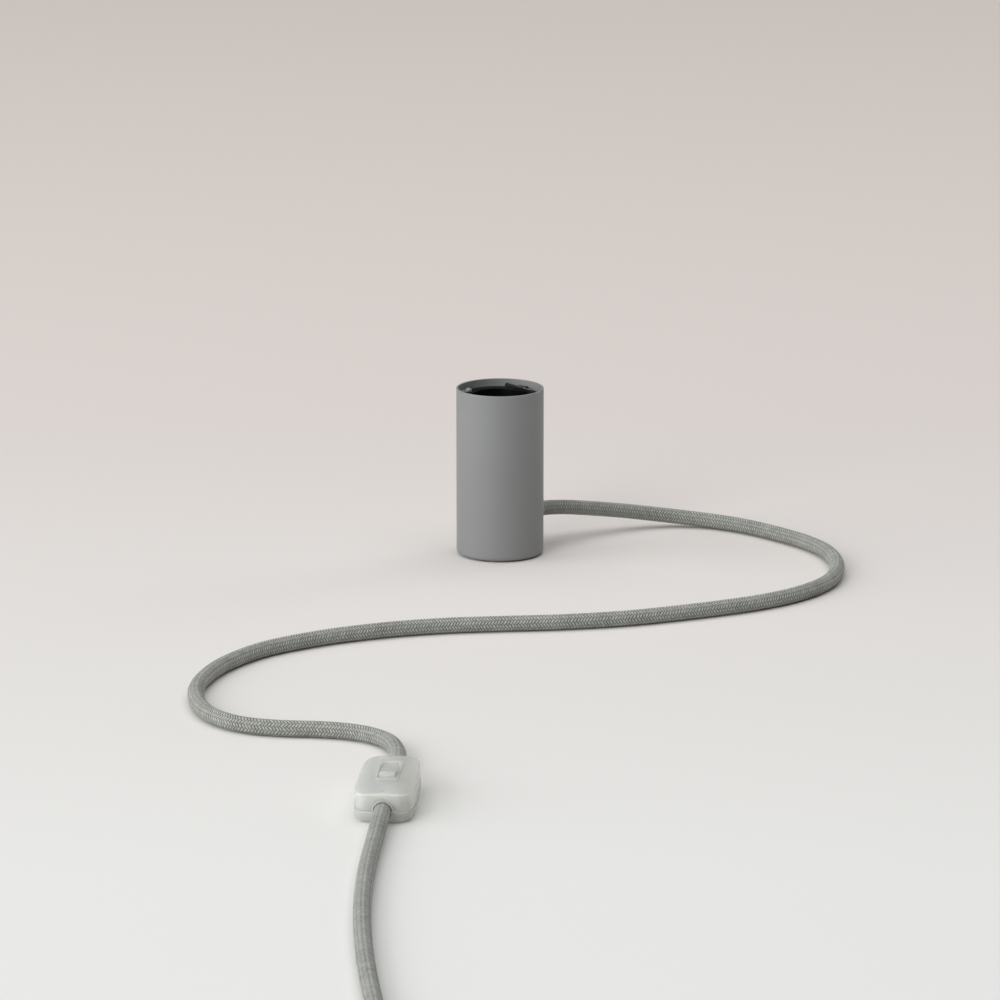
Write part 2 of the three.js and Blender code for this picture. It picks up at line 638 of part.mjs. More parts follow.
// Rubber bushing in the wall, the end of the cord, its grip on the weight, and the two wires
function makeCordExit() {
  const bushing = turned([
    [CORD_BORE, BUSHING_INSIDE],
    [BUSHING_RADIUS + 0.6, BUSHING_INSIDE],
    [BUSHING_RADIUS + 0.6, BUSHING_INSIDE + BUSHING_FLANGE],
    [BUSHING_RADIUS, BUSHING_INSIDE + BUSHING_FLANGE],
    [BUSHING_RADIUS, EXIT_RADIUS - 0.3],
    [BUSHING_RADIUS - 0.3, EXIT_RADIUS],
    [CORD_BORE, EXIT_RADIUS],
  ]);
  piece("cord_bushing", onRadius(bushing, EXIT_DEG, EXIT_Z), "rubber");

  const tail = rod(CORD_RADIUS, GRIP_INNER - 1, EXIT_RADIUS - GAP);
  piece("cord_tail", onRadius(tail, EXIT_DEG, EXIT_Z), "braid");

  const groove = () => onRadius(rod(CORD_BORE, 0, 30), 0, EXIT_Z);
  const screwWays = () =>
    [1, -1].map((side) =>
      rod(SMALL_SCREW_THREAD, WEIGHT_TOP - BITE, 30, 12)
        .translate(GRIP_MIDDLE, side * GRIP_SCREW_OFFSET, 0),
    );
  const saddle = block(
    [GRIP_INNER, -GRIP_HALF_WIDTH, WEIGHT_TOP],
    [GRIP_OUTER, GRIP_HALF_WIDTH, EXIT_Z - GAP],
  );
  piece("cord_grip_saddle", spun(cut(saddle, groove(), ...screwWays()), EXIT_DEG), "black");
  const barTop = EXIT_Z + CORD_BORE + 1.8;
  const bar = block(
    [GRIP_INNER, -GRIP_HALF_WIDTH, EXIT_Z + GAP],
    [GRIP_OUTER, GRIP_HALF_WIDTH, barTop],
  );
  piece("cord_grip_bar", spun(cut(bar, groove(), ...screwWays()), EXIT_DEG), "black");
  [1, -1].forEach((side, i) => {
    const fixing = screw(2.4, 1.8, 1.5, barTop - FLOOR_TOP - BASE_SCREW_LENGTH - 2 * GAP);
    fixing.translate(GRIP_MIDDLE, side * GRIP_SCREW_OFFSET, barTop);
    piece(`cord_grip_screw_${i + 1}`, spun(fixing, EXIT_DEG), "steel");
  });

  const splitRadius = GRIP_INNER - 1.9;
  const live = [
    polar(splitRadius, EXIT_DEG + 12, EXIT_Z),
    [1.5, GRIP_INNER - 1, 18],
    [-1, TERMINAL_Y - 1, 22.5],
    [-0.4, TERMINAL_Y, 29],
    [0, TERMINAL_Y, 33],
    [0, TERMINAL_Y, TERMINAL_BOTTOM + 5],
  ];
  piece("wire_live", tube(live, WIRE_RADIUS, 4, 8), "brown");
  const neutral = [
    polar(splitRadius, EXIT_DEG - 12, EXIT_Z),
    [3.5, 0, 17.8],
    [2.5, -6, 21],
    [0.5, 0.4 - TERMINAL_Y, 27.5],
    [0, -TERMINAL_Y, 33],
    [0, -TERMINAL_Y, TERMINAL_BOTTOM + 5],
  ];
  piece("wire_neutral", tube(neutral, WIRE_RADIUS, 4, 8), "blue");
}

// Outline of the switch case seen from above, drawn smaller by an inset
function caseOutline(inset) {
  const end = CASE_LENGTH / 2 - inset;
  const side = CASE_END_HALF - inset;
  const straight = end - CASE_CORNER;
  const flat = side - CASE_CORNER;
  const bulge = 2 * (CASE_MID_HALF - inset) - side;
  const shape = new THREE.Shape();
  shape.moveTo(-flat, -end);
  shape.lineTo(flat, -end);
  shape.quadraticCurveTo(side - 0.4, -end, side, -straight);
  shape.quadraticCurveTo(bulge, 0, side, straight);
  shape.quadraticCurveTo(side - 0.4, end, flat, end);
  shape.lineTo(-flat, end);
  shape.quadraticCurveTo(-side + 0.4, end, -side, straight);
  shape.quadraticCurveTo(-bulge, 0, -side, -straight);
  shape.quadraticCurveTo(-side + 0.4, -end, -flat, -end);
  return shape;
}

function caseSolid(inset) {
  const round = CASE_ROUND - inset * 0.6;
  const height = CASE_HEIGHT - 2 * inset;
  const geometry = new THREE.ExtrudeGeometry(caseOutline(inset), {
    depth: height - 2 * round,
    bevelThickness: round,
    bevelSize: round,
    bevelOffset: -round,
    bevelSegments: 2,
    curveSegments: 4,
  });
  return geometry.translate(0, 0, inset + round);
}

// Two half shells, hollow, with a round mouth for the cord at each end
function makeSwitchCase() {
  const wide = CASE_MID_HALF + BITE;
  const long = CASE_LENGTH / 2 + BITE;
  const collar = CORD_BORE + ENTRY_COLLAR;
  const cordWay = rod(CORD_BORE, -long - BITE, long + BITE, 20).rotateX(Math.PI / 2);
  cordWay.translate(0, 0, CASE_PARTING);
  const rings = [1, -1].map((side) => {
    const ring = rod(collar, 0, 2.2, 20).rotateX((-side * Math.PI) / 2);
    return ring.translate(0, side * (CASE_LENGTH / 2 - 1.7), CASE_PARTING);
  });
  const hollow = cut(join(caseSolid(0), ...rings), caseSolid(CASE_WALL));
  const screwSpots = [[CASE_SCREW_X, -CASE_SCREW_Y], [-CASE_SCREW_X, CASE_SCREW_Y]];

  const lowerHalf = block([-wide, -long, 0], [wide, long, CASE_PARTING - GAP / 2]);
  const lowerPosts = screwSpots.map(([x, y]) =>
    rod(2.9, CASE_WALL / 2, CASE_PARTING - GAP / 2, 16).translate(x, y, 0),
  );
  const headHoles = screwSpots.map(([x, y]) => rod(2.2, -BITE, 2, 16).translate(x, y, 0));
  const shankHoles = screwSpots.map(([x, y]) => rod(1.3, -BITE, CASE_HEIGHT - 3, 12).translate(x, y, 0));
  const lower = common(join(hollow, ...lowerPosts), lowerHalf);
  piece("switch_lower_shell", cut(lower, cordWay, ...headHoles, ...shankHoles), "clear", switchGroup);

  const upperHalf = block([-wide, -long, CASE_PARTING + GAP / 2], [wide, long, CASE_HEIGHT + 2]);
  const upperPosts = screwSpots.map(([x, y]) =>
    rod(2.6, CASE_PARTING + GAP / 2, CASE_HEIGHT - CASE_WALL / 2, 16).translate(x, y, 0),
  );
  const ears = [1, -1].map((side) =>
    block(
      [Math.min(side * EAR_INNER, side * EAR_OUTER), BUTTON_Y - 2.4, PIVOT_Z - 2],
      [Math.max(side * EAR_INNER, side * EAR_OUTER), BUTTON_Y + 2.4, CASE_HEIGHT - CASE_WALL / 2],
    ),
  );
  const rim = block(
    [-WELL_HALF_WIDTH - WELL_RIM, BUTTON_Y - WELL_HALF_LENGTH - WELL_RIM, CASE_HEIGHT - CASE_WALL / 2],
    [WELL_HALF_WIDTH + WELL_RIM, BUTTON_Y + WELL_HALF_LENGTH + WELL_RIM, CASE_HEIGHT + WELL_RIM_HEIGHT],
  );
  const well = block(
    [-WELL_HALF_WIDTH, BUTTON_Y - WELL_HALF_LENGTH, CASE_HEIGHT - 2 * CASE_WALL],
    [WELL_HALF_WIDTH, BUTTON_Y + WELL_HALF_LENGTH, CASE_HEIGHT + 2],
  );
  const pinWay = onRadius(rod(PIN_HOLE, -EAR_OUTER + 0.1, EAR_OUTER - 0.1, 16), 0, PIVOT_Z);
  pinWay.translate(0, BUTTON_Y, 0);
  const dimple = rod(1.3, CASE_HEIGHT - 0.8, CASE_HEIGHT + BITE, 12).translate(0, -CASE_SCREW_Y, 0);
  const upper = common(join(hollow, ...upperPosts, ...ears, rim), upperHalf);
  const upperCuts = [cordWay, well, pinWay, dimple, ...shankHoles];
  piece("switch_upper_shell", cut(upper, ...upperCuts), "clear", switchGroup);

  screwSpots.forEach(([x, y], i) => {
    const closing = screw(1.9, 1.4, 1, 7).rotateX(Math.PI).translate(x, y, 2);
    piece(`switch_case_screw_${i + 1}`, closing, "steel", switchGroup);
  });
}

// Rocker button with its pin; it rests with its plug end up
function makeSwitchButton() {
  const outline = new THREE.Shape();
  outline.moveTo(-BUTTON_HALF_LENGTH, 1.5);
  outline.lineTo(-3, 1);
  outline.lineTo(-2.2, -1.8);
  outline.lineTo(2.2, -1.8);
  outline.lineTo(3, 1);
  outline.lineTo(BUTTON_HALF_LENGTH, 1.5);
  outline.lineTo(BUTTON_HALF_LENGTH - 0.1, BUTTON_TOP - 0.5);
  outline.lineTo(BUTTON_HALF_LENGTH - 0.6, BUTTON_TOP);
  outline.quadraticCurveTo(0, BUTTON_TOP - BUTTON_SAG, -BUTTON_HALF_LENGTH + 0.6, BUTTON_TOP);
  outline.lineTo(-BUTTON_HALF_LENGTH + 0.1, BUTTON_TOP - 0.5);
  const options = {
    depth: 2 * BUTTON_HALF_WIDTH - 0.8,
    bevelThickness: 0.4,
    bevelSize: 0.4,
    bevelOffset: -0.4,
    bevelSegments: 1,
    curveSegments: 8,
  };
  const raw = new THREE.ExtrudeGeometry(outline, options);
  const body = uprightSection(raw, options.depth);
  const bore = onRadius(rod(PIN_HOLE, -8, 8, 16), 0, 0);
  const button = cut(body, bore);
  button.rotateX(THREE.MathUtils.degToRad(-BUTTON_REST_DEG)).translate(0, BUTTON_Y, PIVOT_Z);
  piece("switch_button", button, "clear", switchGroup);
  const reach = EAR_OUTER - 0.4;
  const pin = onRadius(rod(PIN_RADIUS, -reach, reach, 12), 0, PIVOT_Z).translate(0, BUTTON_Y, 0);
  piece("button_pivot_pin", pin, "steel", switchGroup);
}

// Inside of the switch: cord grips, terminals, contacts and wires
function makeSwitchInside() {
  [["lamp", 1], ["plug", -1]].forEach(([end, side]) => {
    const y = side * (CORD_END_Y + 2.2);
    const barTop = CASE_PARTING + CORD_BORE + 1.6;
    const bar = block([-6.2, y - 1.8, CASE_PARTING + 1], [6.2, y + 1.8, barTop]);
    const groove = rod(CORD_BORE, -3, 3, 20).rotateX(Math.PI / 2).translate(0, y, CASE_PARTING);
    piece(`switch_cord_grip_${end}`, cut(bar, groove), "clear", switchGroup);

    const terminalY = side * SWITCH_TERMINAL_Y;
    const body = block([4.5, terminalY - 2.5, CASE_WALL + GAP], [9.5, terminalY + 2.5, 6.4]);
    const bore = rod(WIRE_RADIUS + GAP, -1, 8, 12).rotateX((-side * Math.PI) / 2);
    bore.translate(7, terminalY, 3.9);
    const thread = rod(1.2, 5, 8, 12).translate(7, terminalY, 0);
    piece(`switch_terminal_${end}`, cut(body, bore, thread), "brass", switchGroup);
    const clamp = screw(1.7, 1.3, 0.9, 1.2).translate(7, terminalY, 6.4 + GAP);
    piece(`switch_terminal_screw_${end}`, clamp, "steel", switchGroup);

    const wire = [
      [1.3, side * WIRE_START_Y, CASE_PARTING],
      [3.5, side * (CORD_END_Y - 2.5), 4.8],
      [6.2, side * (CORD_END_Y - 4.2), 4],
      [7, side * (SWITCH_TERMINAL_Y + 3), 3.9],
      [7, side * (SWITCH_TERMINAL_Y + 0.4), 3.9],
    ];
    piece(`switch_wire_live_${end}`, tube(wire, WIRE_RADIUS, 2.6, 8), "brown", switchGroup);
  });

  const through = [
    [-1.3, WIRE_START_Y, CASE_PARTING],
    [-3.4, CORD_END_Y - 3, 4.6],
    [-7.2, 13, 3.6],
    [-8.6, 5, 3.2],
    [-8.8, 0, 3.2],
    [-8.6, -5, 3.2],
    [-7.2, -13, 3.6],
    [-3.4, -CORD_END_Y + 3, 4.6],
    [-1.3, -WIRE_START_Y, CASE_PARTING],
  ];
  piece("switch_wire_neutral", tube(through, WIRE_RADIUS, 3.5, 8), "blue", switchGroup);

  const springEnd = SWITCH_TERMINAL_Y - 2.5 - GAP;
  const spring = bentStrip([[springEnd, 3.2], [5, 3.2], [2, 6.6], [-2.4, 7.4]], 0.4, 4);
  spring.translate(7, 0, 0);
  piece("switch_contact_spring", spring, "brass", switchGroup);
  const fixed = bentStrip([[-springEnd, 3.2], [-5, 3.2], [-3.4, 5.8], [-0.6, 6]], 0.4, 4);
  fixed.translate(7, 0, 0);
  piece("switch_contact_fixed", fixed, "brass", switchGroup);
}

// Flat two-pin plug, lying on the floor; the cord comes in from -x
function makePlug() {
  const shape = new THREE.Shape();
  shape.moveTo(0, -6.8);
  shape.lineTo(0, 6.8);
  shape.quadraticCurveTo(10, 7.6, 15, 12.5);
  shape.quadraticCurveTo(20, PLUG_HALF_WIDTH, 27, PLUG_HALF_WIDTH);
  shape.lineTo(PLUG_LENGTH, PLUG_HALF_WIDTH);
  shape.lineTo(PLUG_LENGTH, -PLUG_HALF_WIDTH);
  shape.lineTo(27, -PLUG_HALF_WIDTH);
  shape.quadraticCurveTo(20, -PLUG_HALF_WIDTH, 15, -12.5);
  shape.quadraticCurveTo(10, -7.6, 0, -6.8);
  const raw = new THREE.ExtrudeGeometry(shape, {
    depth: PLUG_THICKNESS - 2 * PLUG_ROUND,
    bevelThickness: PLUG_ROUND,
    bevelSize: PLUG_ROUND,
    bevelOffset: -PLUG_ROUND,
    bevelSegments: 2,
    curveSegments: 6,
  });
  raw.translate(0, 0, PLUG_ROUND - PLUG_THICKNESS / 2);
  const lean = Math.atan((PIN_SPACING_BASE - PIN_SPACING_TIP) / 2 / PIN_LENGTH);
  const place = (geometry, side) => {
    geometry.rotateY(Math.PI / 2).rotateZ(-side * lean);
    return geometry.translate(PLUG_LENGTH, (side * PIN_SPACING_BASE) / 2, 0);
  };
  const roots = [1, -1].flatMap((side) => [
    place(rod(PIN_CORE_RADIUS + GAP, -PIN_ROOT - GAP, 3, 16), side),
    place(rod(PIN_TIP_RADIUS + GAP, -PIN_RECESS, 3, 20), side),
  ]);
  piece("plug_body", cut(raw, ...roots), "clear", plugGroup);
  [1, -1].forEach((side, i) => {
    const pin = turned(
      [
        [0, -PIN_ROOT],
        [PIN_CORE_RADIUS, -PIN_ROOT],
        [PIN_CORE_RADIUS, PIN_SLEEVE_LENGTH + GAP],
        [PIN_TIP_RADIUS, PIN_SLEEVE_LENGTH + GAP],
        [PIN_TIP_RADIUS, PIN_LENGTH - 1.6],
        [PIN_TIP_RADIUS * 0.75, PIN_LENGTH - 0.5],
        [PIN_TIP_RADIUS * 0.3, PIN_LENGTH],
        [0, PIN_LENGTH],
      ],
      16,
    );
    piece(`plug_pin_${i + 1}`, place(pin, side), "nickel", plugGroup);
    const sleeveStart = GAP - PIN_RECESS;
    const sleeve = pipe(PIN_SLEEVE_RADIUS, PIN_CORE_RADIUS + GAP, sleeveStart, PIN_SLEEVE_LENGTH, 16);
    piece(`plug_pin_sleeve_${i + 1}`, place(sleeve, side), "black", plugGroup);
  });

  const thin = CORD_BORE + 0.7;
  const thick = PLUG_THICKNESS / 2 - 0.7;
  const ribs = 4;
  const ribPitch = (RELIEF_LENGTH - 3) / ribs;
  const outline = [[CORD_BORE, -RELIEF_LENGTH], [thin, -RELIEF_LENGTH]];
  for (let i = 0; i < ribs; i += 1) {
    const radius = thin + ((thick - thin) * (i + 1)) / ribs;
    const start = -RELIEF_LENGTH + ribPitch * i + 1.5;
    outline.push([radius, start], [radius, start + ribPitch * 0.6]);
    outline.push([radius - 0.6, start + ribPitch * 0.65], [radius - 0.6, start + ribPitch * 0.95]);
  }
  outline.push([thick, -1], [thick, -GAP], [CORD_BORE, -GAP]);
  piece("plug_strain_relief", turned(outline, 16).rotateY(Math.PI / 2), "clear", plugGroup);
}

// Free cord: three plain tubes, the coil between two of them, and its tie
function makeCord() {
  piece("cord_lamp_to_switch", tube(ROUTE_TO_SWITCH, CORD_RADIUS), "braid");
  piece("cord_switch_to_coil", tube(ROUTE_TO_COIL, CORD_RADIUS), "braid");
  piece("cord_coil_to_plug", tube(ROUTE_TO_PLUG, CORD_RADIUS, 9), "braid");
  const inner = COIL_RADIUS - CORD_RADIUS;
  const outer = COIL_RADIUS + CORD_RADIUS;
  const top = COIL_BASE + 2 * CORD_RADIUS * COIL_LAYERS;
  const round = 2;
  const ring = turned(
    [
      ...arc([outer - round, COIL_BASE + round], round, -90, 0, 2),
      ...arc([outer - round, top - round], round, 0, 90, 2),
      ...arc([inner + round, top - round], round, 90, 180, 2),
      ...arc([inner + round, COIL_BASE + round], round, 180, 270, 2),
    ],
    28,
  );
  piece("cord_coil", ring.translate(COIL_X, COIL_Y, 0), "braid");

  const half = TIE_WIDTH / 2;
  const near = inner - 1;
  const far = outer + 1;
  const bandTop = top + GAP + TIE_THICKNESS;
  const band = block([near - TIE_THICKNESS, -half, 0], [far + TIE_THICKNESS, half, bandTop]);
  const inside = block([near, -half - BITE, TIE_THICKNESS], [far, half + BITE, top + GAP]);
  piece("cord_tie", cut(band, inside).translate(COIL_X, COIL_Y, 0), "strap");
}

makeSleeve();
makeWeight();
makeBracket();
makeHolder();
makeClips();
makeCordExit();
makeSwitchCase();
makeSwitchButton();
makeSwitchInside();
makePlug();
makeCord();

export default group;
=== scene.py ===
"""Plug-in lamp cord, dressed: a cylinder lamp holder, a braided cord with a rocker switch, a coil and a plug.

The file is laid out as an add-on and runs as a script. Metres, +Z up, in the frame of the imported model.
"""

import math

import bpy
import numpy as np
from bpy.props import FloatProperty, FloatVectorProperty, IntProperty, PointerProperty
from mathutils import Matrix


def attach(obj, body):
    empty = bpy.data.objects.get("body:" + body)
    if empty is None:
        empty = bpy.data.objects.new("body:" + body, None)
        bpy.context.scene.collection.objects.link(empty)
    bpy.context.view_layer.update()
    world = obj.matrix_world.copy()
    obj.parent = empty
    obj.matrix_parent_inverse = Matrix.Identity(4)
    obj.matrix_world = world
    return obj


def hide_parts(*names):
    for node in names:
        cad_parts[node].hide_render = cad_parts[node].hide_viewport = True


bl_info = {
    "name": "Plug-in lamp cord",
    "version": (1, 0, 0),
    "blender": (4, 5, 0),
    "location": "3D View > Sidebar > Lamp cord",
    "description": "Makes a lamp holder with a braided cord, an in-line switch and a plug",
    "category": "Add Mesh",
}

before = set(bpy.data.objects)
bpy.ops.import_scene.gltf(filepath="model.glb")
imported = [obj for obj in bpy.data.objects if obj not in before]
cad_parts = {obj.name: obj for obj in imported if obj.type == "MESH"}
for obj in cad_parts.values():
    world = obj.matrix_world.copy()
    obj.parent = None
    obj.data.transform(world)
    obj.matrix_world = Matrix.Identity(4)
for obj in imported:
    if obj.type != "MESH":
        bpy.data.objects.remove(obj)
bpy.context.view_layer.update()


BODY = "cord_set"
BUTTON_BODY = "button"

# Route of the cord from the holder to the switch, after the exit point
ROUTE_TO_SWITCH = [
    (0.022, 0.0218, 0.0175), (0.0305, 0.0283, 0.0164), (0.0405, 0.0356, 0.0143),
    (0.0605, 0.0475, 0.01), (0.0805, 0.054, 0.0063), (0.1005, 0.0523, 0.0043),
    (0.1205, 0.042, 0.0037), (0.1435, 0.018, 0.0037), (0.1545, 0.002, 0.0037),
    (0.1615, -0.015, 0.0037), (0.1645, -0.04, 0.0037), (0.1605, -0.067, 0.0037),
    (0.1515, -0.0855, 0.0037), (0.1385, -0.101, 0.0037), (0.122, -0.114, 0.0037),
    (0.104, -0.124, 0.0037), (0.085, -0.133, 0.0037), (0.06, -0.143, 0.0037),
    (0.03, -0.15, 0.0037), (0.0, -0.1535, 0.0037), (-0.0235, -0.1565, 0.0037),
    (-0.047, -0.1625, 0.0037), (-0.0655, -0.17, 0.0037), (-0.084, -0.18, 0.0037),
    (-0.108, -0.199, 0.0037), (-0.1225, -0.2195, 0.0037), (-0.132, -0.242, 0.0037),
    (-0.137, -0.272, 0.0037), (-0.133, -0.302, 0.0037), (-0.124, -0.32, 0.0037),
    (-0.112, -0.3305, 0.0037), (-0.097, -0.3355, 0.0037), (-0.08, -0.3373, 0.0037),
    (-0.0665, -0.341, 0.0037), (-0.0555, -0.348, 0.0037), (-0.0482, -0.3585, 0.0037),
    (-0.0447, -0.374, 0.0039), (-0.0441, -0.393, 0.0049), (-0.045, -0.4112, 0.0054),
    (-0.0456, -0.4202, 0.0054),
]
# From the switch to the foot of the coil
ROUTE_TO_COIL = [
    (-0.0485, -0.462, 0.0054), (-0.0492, -0.471, 0.0054), (-0.0505, -0.488, 0.0047),
    (-0.0518, -0.507, 0.0038), (-0.0535, -0.535, 0.0037), (-0.0545, -0.563, 0.0037),
    (-0.0548, -0.592, 0.0037), (-0.0543, -0.622, 0.0037), (-0.0528, -0.655, 0.0037),
    (-0.0502, -0.692, 0.0037), (-0.0472, -0.725, 0.0037), (-0.0442, -0.755, 0.0037),
    (-0.0418, -0.78, 0.0039), (-0.0407, -0.8006, 0.0042),
]
# From the top of the coil to the plug
ROUTE_TO_PLUG = [
    (0.0232, -0.8661, 0.0188), (0.038, -0.8674, 0.015), (0.05, -0.868, 0.0105),
    (0.06, -0.868, 0.0076), (0.066, -0.868, 0.00685), (0.08, -0.868, 0.00685),
    (0.092, -0.868, 0.00685),
]

# The cord starts inside the housing and leaves it level, through the wall, at this turn and height
EXIT_TURN = math.radians(45)
EXIT_HEIGHT = 0.0175
CORD_START = (0.0053, 0.0053, EXIT_HEIGHT)
BEHIND_WALL = (0.0105, 0.0105, EXIT_HEIGHT)
EXIT_POINT = (0.0157, 0.0157, EXIT_HEIGHT)

# Middle and turn of the switch on the floor, the button's pivot measured from there, and its tilt at rest
SWITCH_MIDDLE = np.array([-0.0471, -0.4411, 0.0])
SWITCH_TURN = math.radians(-4)
PIVOT = np.array([0.0, 0.002, 0.0112])
BUTTON_TILT = math.radians(-4)

# Middle of the coil, height of its first turn and the number of turns; middle of the plug's back face
COIL_MIDDLE = np.array([0.0, -0.825])
COIL_BASE = 0.0044
COIL_TURNS = 2.25
PLUG_MIDDLE = np.array([0.094, -0.868, 0.00685])

# Camera of the photograph: its place, how far it looks down, its lens and sensor in millimetres
CAMERA_PLACE = (0.0, -2.882, 0.716)
CAMERA_DIP = math.radians(13.45)
CAMERA_LENS = 216.0
CAMERA_SENSOR = 36.0

# The floor's colour darkens gently away from the camera, a painted shade for the light's falloff: where its
# three colours lie, and the two beyond the nearest
FLOOR_NEAR = -0.55
FLOOR_MIDDLE = 0.3
FLOOR_FAR = 1.7
FLOOR_WARM_GREY_SHADE = "#d7d0cc"
FLOOR_BACK_SHADE = "#d3cac4"
FLOOR_REACH = 12.0

# Soft square lamps: name, place, what they point at, side and power
LAMPS = (
    ("lamp_left", (-4.5, -1.0, 1.9), (0, -0.2, 0), 3.4, 118.0),
    ("lamp_overhead", (0.0, 0.4, 5.0), (0, 0, 0), 8.0, 305.0),
    ("lamp_right_back", (4.2, 3.0, 1.6), (0, 0, 0.05), 2.0, 34.0),
    ("lamp_front_left", (-3.0, -5.0, 2.6), (0, -0.2, 0), 3.0, 165.0),
)


def linear(code):
    """An sRGB hex colour such as #a3a4a1 as a linear colour."""
    shares = [int(code[i : i + 2], 16) / 255 for i in (1, 3, 5)]
    return tuple(s / 12.92 if s <= 0.04045 else ((s + 0.055) / 1.055) ** 2.4 for s in shares)


# Sizes and colours that a user would change


def length(name, default, text):
    """A size in metres."""
    return FloatProperty(name=name, description=text, default=default, unit="LENGTH", precision=5)


def tint(name, code, text):
    """A colour whose default is an sRGB hex colour."""
    return FloatVectorProperty(
        name=name, description=text, default=linear(code), subtype="COLOR", min=0, max=1
    )


class LampCordSizes(bpy.types.PropertyGroup):
    """Sizes of the pieces, in metres."""

    housing_radius: length("Housing radius", 0.0215, "Outside radius of the lamp holder's housing")
    housing_height: length("Housing height", 0.0837, "Height of the housing's rim above the floor")
    housing_wall: length("Housing wall", 0.001, "Thickness of the housing's wall")
    skirt_radius: length("Skirt radius", 0.0189, "Outside radius of the bulb holder's skirt")
    skirt_top: length("Skirt top", 0.0804, "Height of the bulb holder's upper face")
    mouth_radius: length("Mouth radius", 0.0141, "Radius of the opening that takes the bulb's cap")
    cord_diameter: length("Cord diameter", 0.0074, "Diameter over the braid")
    braid_pitch: length("Braid pitch", 0.0015, "Distance between the braid's crossings along the cord")
    coil_radius: length("Coil radius", 0.0405, "Radius at the middle of the cord in the coil")
    switch_length: length("Switch length", 0.06, "Length of the switch's case")
    switch_width: length("Switch width", 0.0256, "Width of the switch's case at its middle")
    switch_height: length("Switch height", 0.014, "Height of the switch's case")
    plug_length: length("Plug length", 0.038, "Length of the plug's body")
    plug_width: length("Plug width", 0.0353, "Width of the plug's body")
    plug_thickness: length("Plug thickness", 0.0137, "Thickness of the plug's body")
    pin_length: length("Pin length", 0.019, "Length of the plug's pins")
    braid_carriers: IntProperty(
        name="Braid carriers", description="Strands of the braid in each direction", default=12, min=4
    )


class LampCordColours(bpy.types.PropertyGroup):
    """Colours of the finishes."""

    paint: tint("Powder coat", "#8b8d8d", "Coat of the housing")
    black: tint("Black plastic", "#060607", "Bulb holder")
    # Painted light and shade: the braid colour is the lit look of the crests, the braid shade colour the
    # shaded grooves between the strands
    braid: tint("Braid", "#c4c6bf", "Crests of the braid's strands")
    braid_shade: tint("Braid shade", "#5a5d58", "Grooves between the strands")
    frosted: tint("Frosted plastic", "#f6f9f2", "Switch and plug")
    strap: tint("Strap", "#6f726d", "Tie of the coil")
    floor: tint("Floor", "#e1e1df", "Floor nearest the camera")


# Surfaces worked out with numpy


def unit(vectors):
    """Vectors brought to length one."""
    return vectors / np.linalg.norm(vectors, axis=-1, keepdims=True)


def gentle(share):
    """A share kept within 0 and 1 that starts and ends without a kink: 3 s^2 - 2 s^3."""
    share = np.clip(share, 0, 1)
    return share**2 * (3 - 2 * share)


def run_of(line):
    """How far along a line each of its points is: the sum of the distances before it."""
    return np.concatenate([[0], np.cumsum(np.linalg.norm(np.diff(line, axis=0), axis=1))])


def even(line, spacing):
    """A line's points moved along it to equal distances near spacing."""
    run = run_of(line)
    wanted = np.linspace(0, run[-1], max(2, round(run[-1] / spacing)) + 1)
    return np.stack([np.interp(wanted, run, line[:, i]) for i in range(3)], -1)


def eased(corners, steps=6, closed=False):
    """An outline's corners (x, y, radius) as points. Each corner becomes an arc that touches both sides:
    centre = corner + unit bisector times radius / sin(half the angle), with points even in angle."""
    points = []
    count = len(corners)
    for i, (x, y, radius) in enumerate(corners):
        corner = np.array([x, y], float)
        if radius == 0 or (not closed and i in (0, count - 1)):
            points.append(corner)
            continue
        before = unit(np.array(corners[i - 1][:2], float) - corner)
        after = unit(np.array(corners[(i + 1) % count][:2], float) - corner)
        half = math.acos(max(-1.0, min(1.0, float(before @ after)))) / 2
        centre = corner + unit(before + after) * radius / math.sin(half)
        reach = radius / math.tan(half)
        start, end = corner + before * reach - centre, corner + after * reach - centre
        sweep = math.pi - 2 * half
        for share in np.linspace(0, 1, steps):
            mix = math.sin((1 - share) * sweep) * start + math.sin(share * sweep) * end
            points.append(centre + mix / math.sin(sweep))
    return np.array(points)


def turned(outline, count=128):
    """A profile of (radius, height) points turned about the z axis: x = r cos a, y = r sin a."""
    radius, height = np.asarray(outline, float).T
    turn = 2 * np.pi * np.arange(count) / count
    x, y = np.outer(radius, np.cos(turn)), np.outer(radius, np.sin(turn))
    return np.stack([x, y, np.repeat(height[:, None], count, 1)], -1)


def bar(radius, start, end, count=48):
    """A round bar about the z axis, from start to end."""
    return turned([(0, start), (radius, start), (radius, end), (0, end)], count)


def along_x(grid):
    """A grid turned about z is laid down, so that its height runs along +x."""
    return np.stack([grid[..., 2], grid[..., 1], -grid[..., 0]], -1)


def about_z(grid, turn):
    """A grid turned by an angle about the z axis."""
    c, s = math.cos(turn), math.sin(turn)
    return grid @ np.array([[c, s, 0], [-s, c, 0], [0, 0, 1]])


def from_exit(grid):
    """A grid laid along +x is put at the cord's exit, pointing out of the housing."""
    return about_z(grid, EXIT_TURN) + np.array([0, 0, EXIT_HEIGHT])


def in_switch(grid):
    """Points measured from the middle of the switch, lamp end towards +y, put in their place on the floor."""
    return about_z(grid, SWITCH_TURN) + SWITCH_MIDDLE


def capped(grid, ends=None):
    """A tube's grid closed by a pole at each end: the middles of its end rows, or two given points."""
    ends = (grid[0].mean(0), grid[-1].mean(0)) if ends is None else ends
    first, last = (np.broadcast_to(end, grid[:1].shape) for end in ends)
    return np.vstack([first, grid, last])


def strip(line, section, closed=False):
    """A section (across, out) carried along a line (x, z) in an upright plane: point = line + out times
    the line's unit normal (dz, -dx), with across along y."""
    around = np.vstack([line[-1:], line, line[:1]])
    way = unit(around[2:] - around[:-2] if closed else np.gradient(line, axis=0))
    normal = np.stack([way[:, 1], -way[:, 0]], -1)
    x, z = (line[:, None, i] + normal[:, None, i] * section[None, :, 1] for i in (0, 1))
    return np.stack([x, np.broadcast_to(section[None, :, 0], x.shape), z], -1)


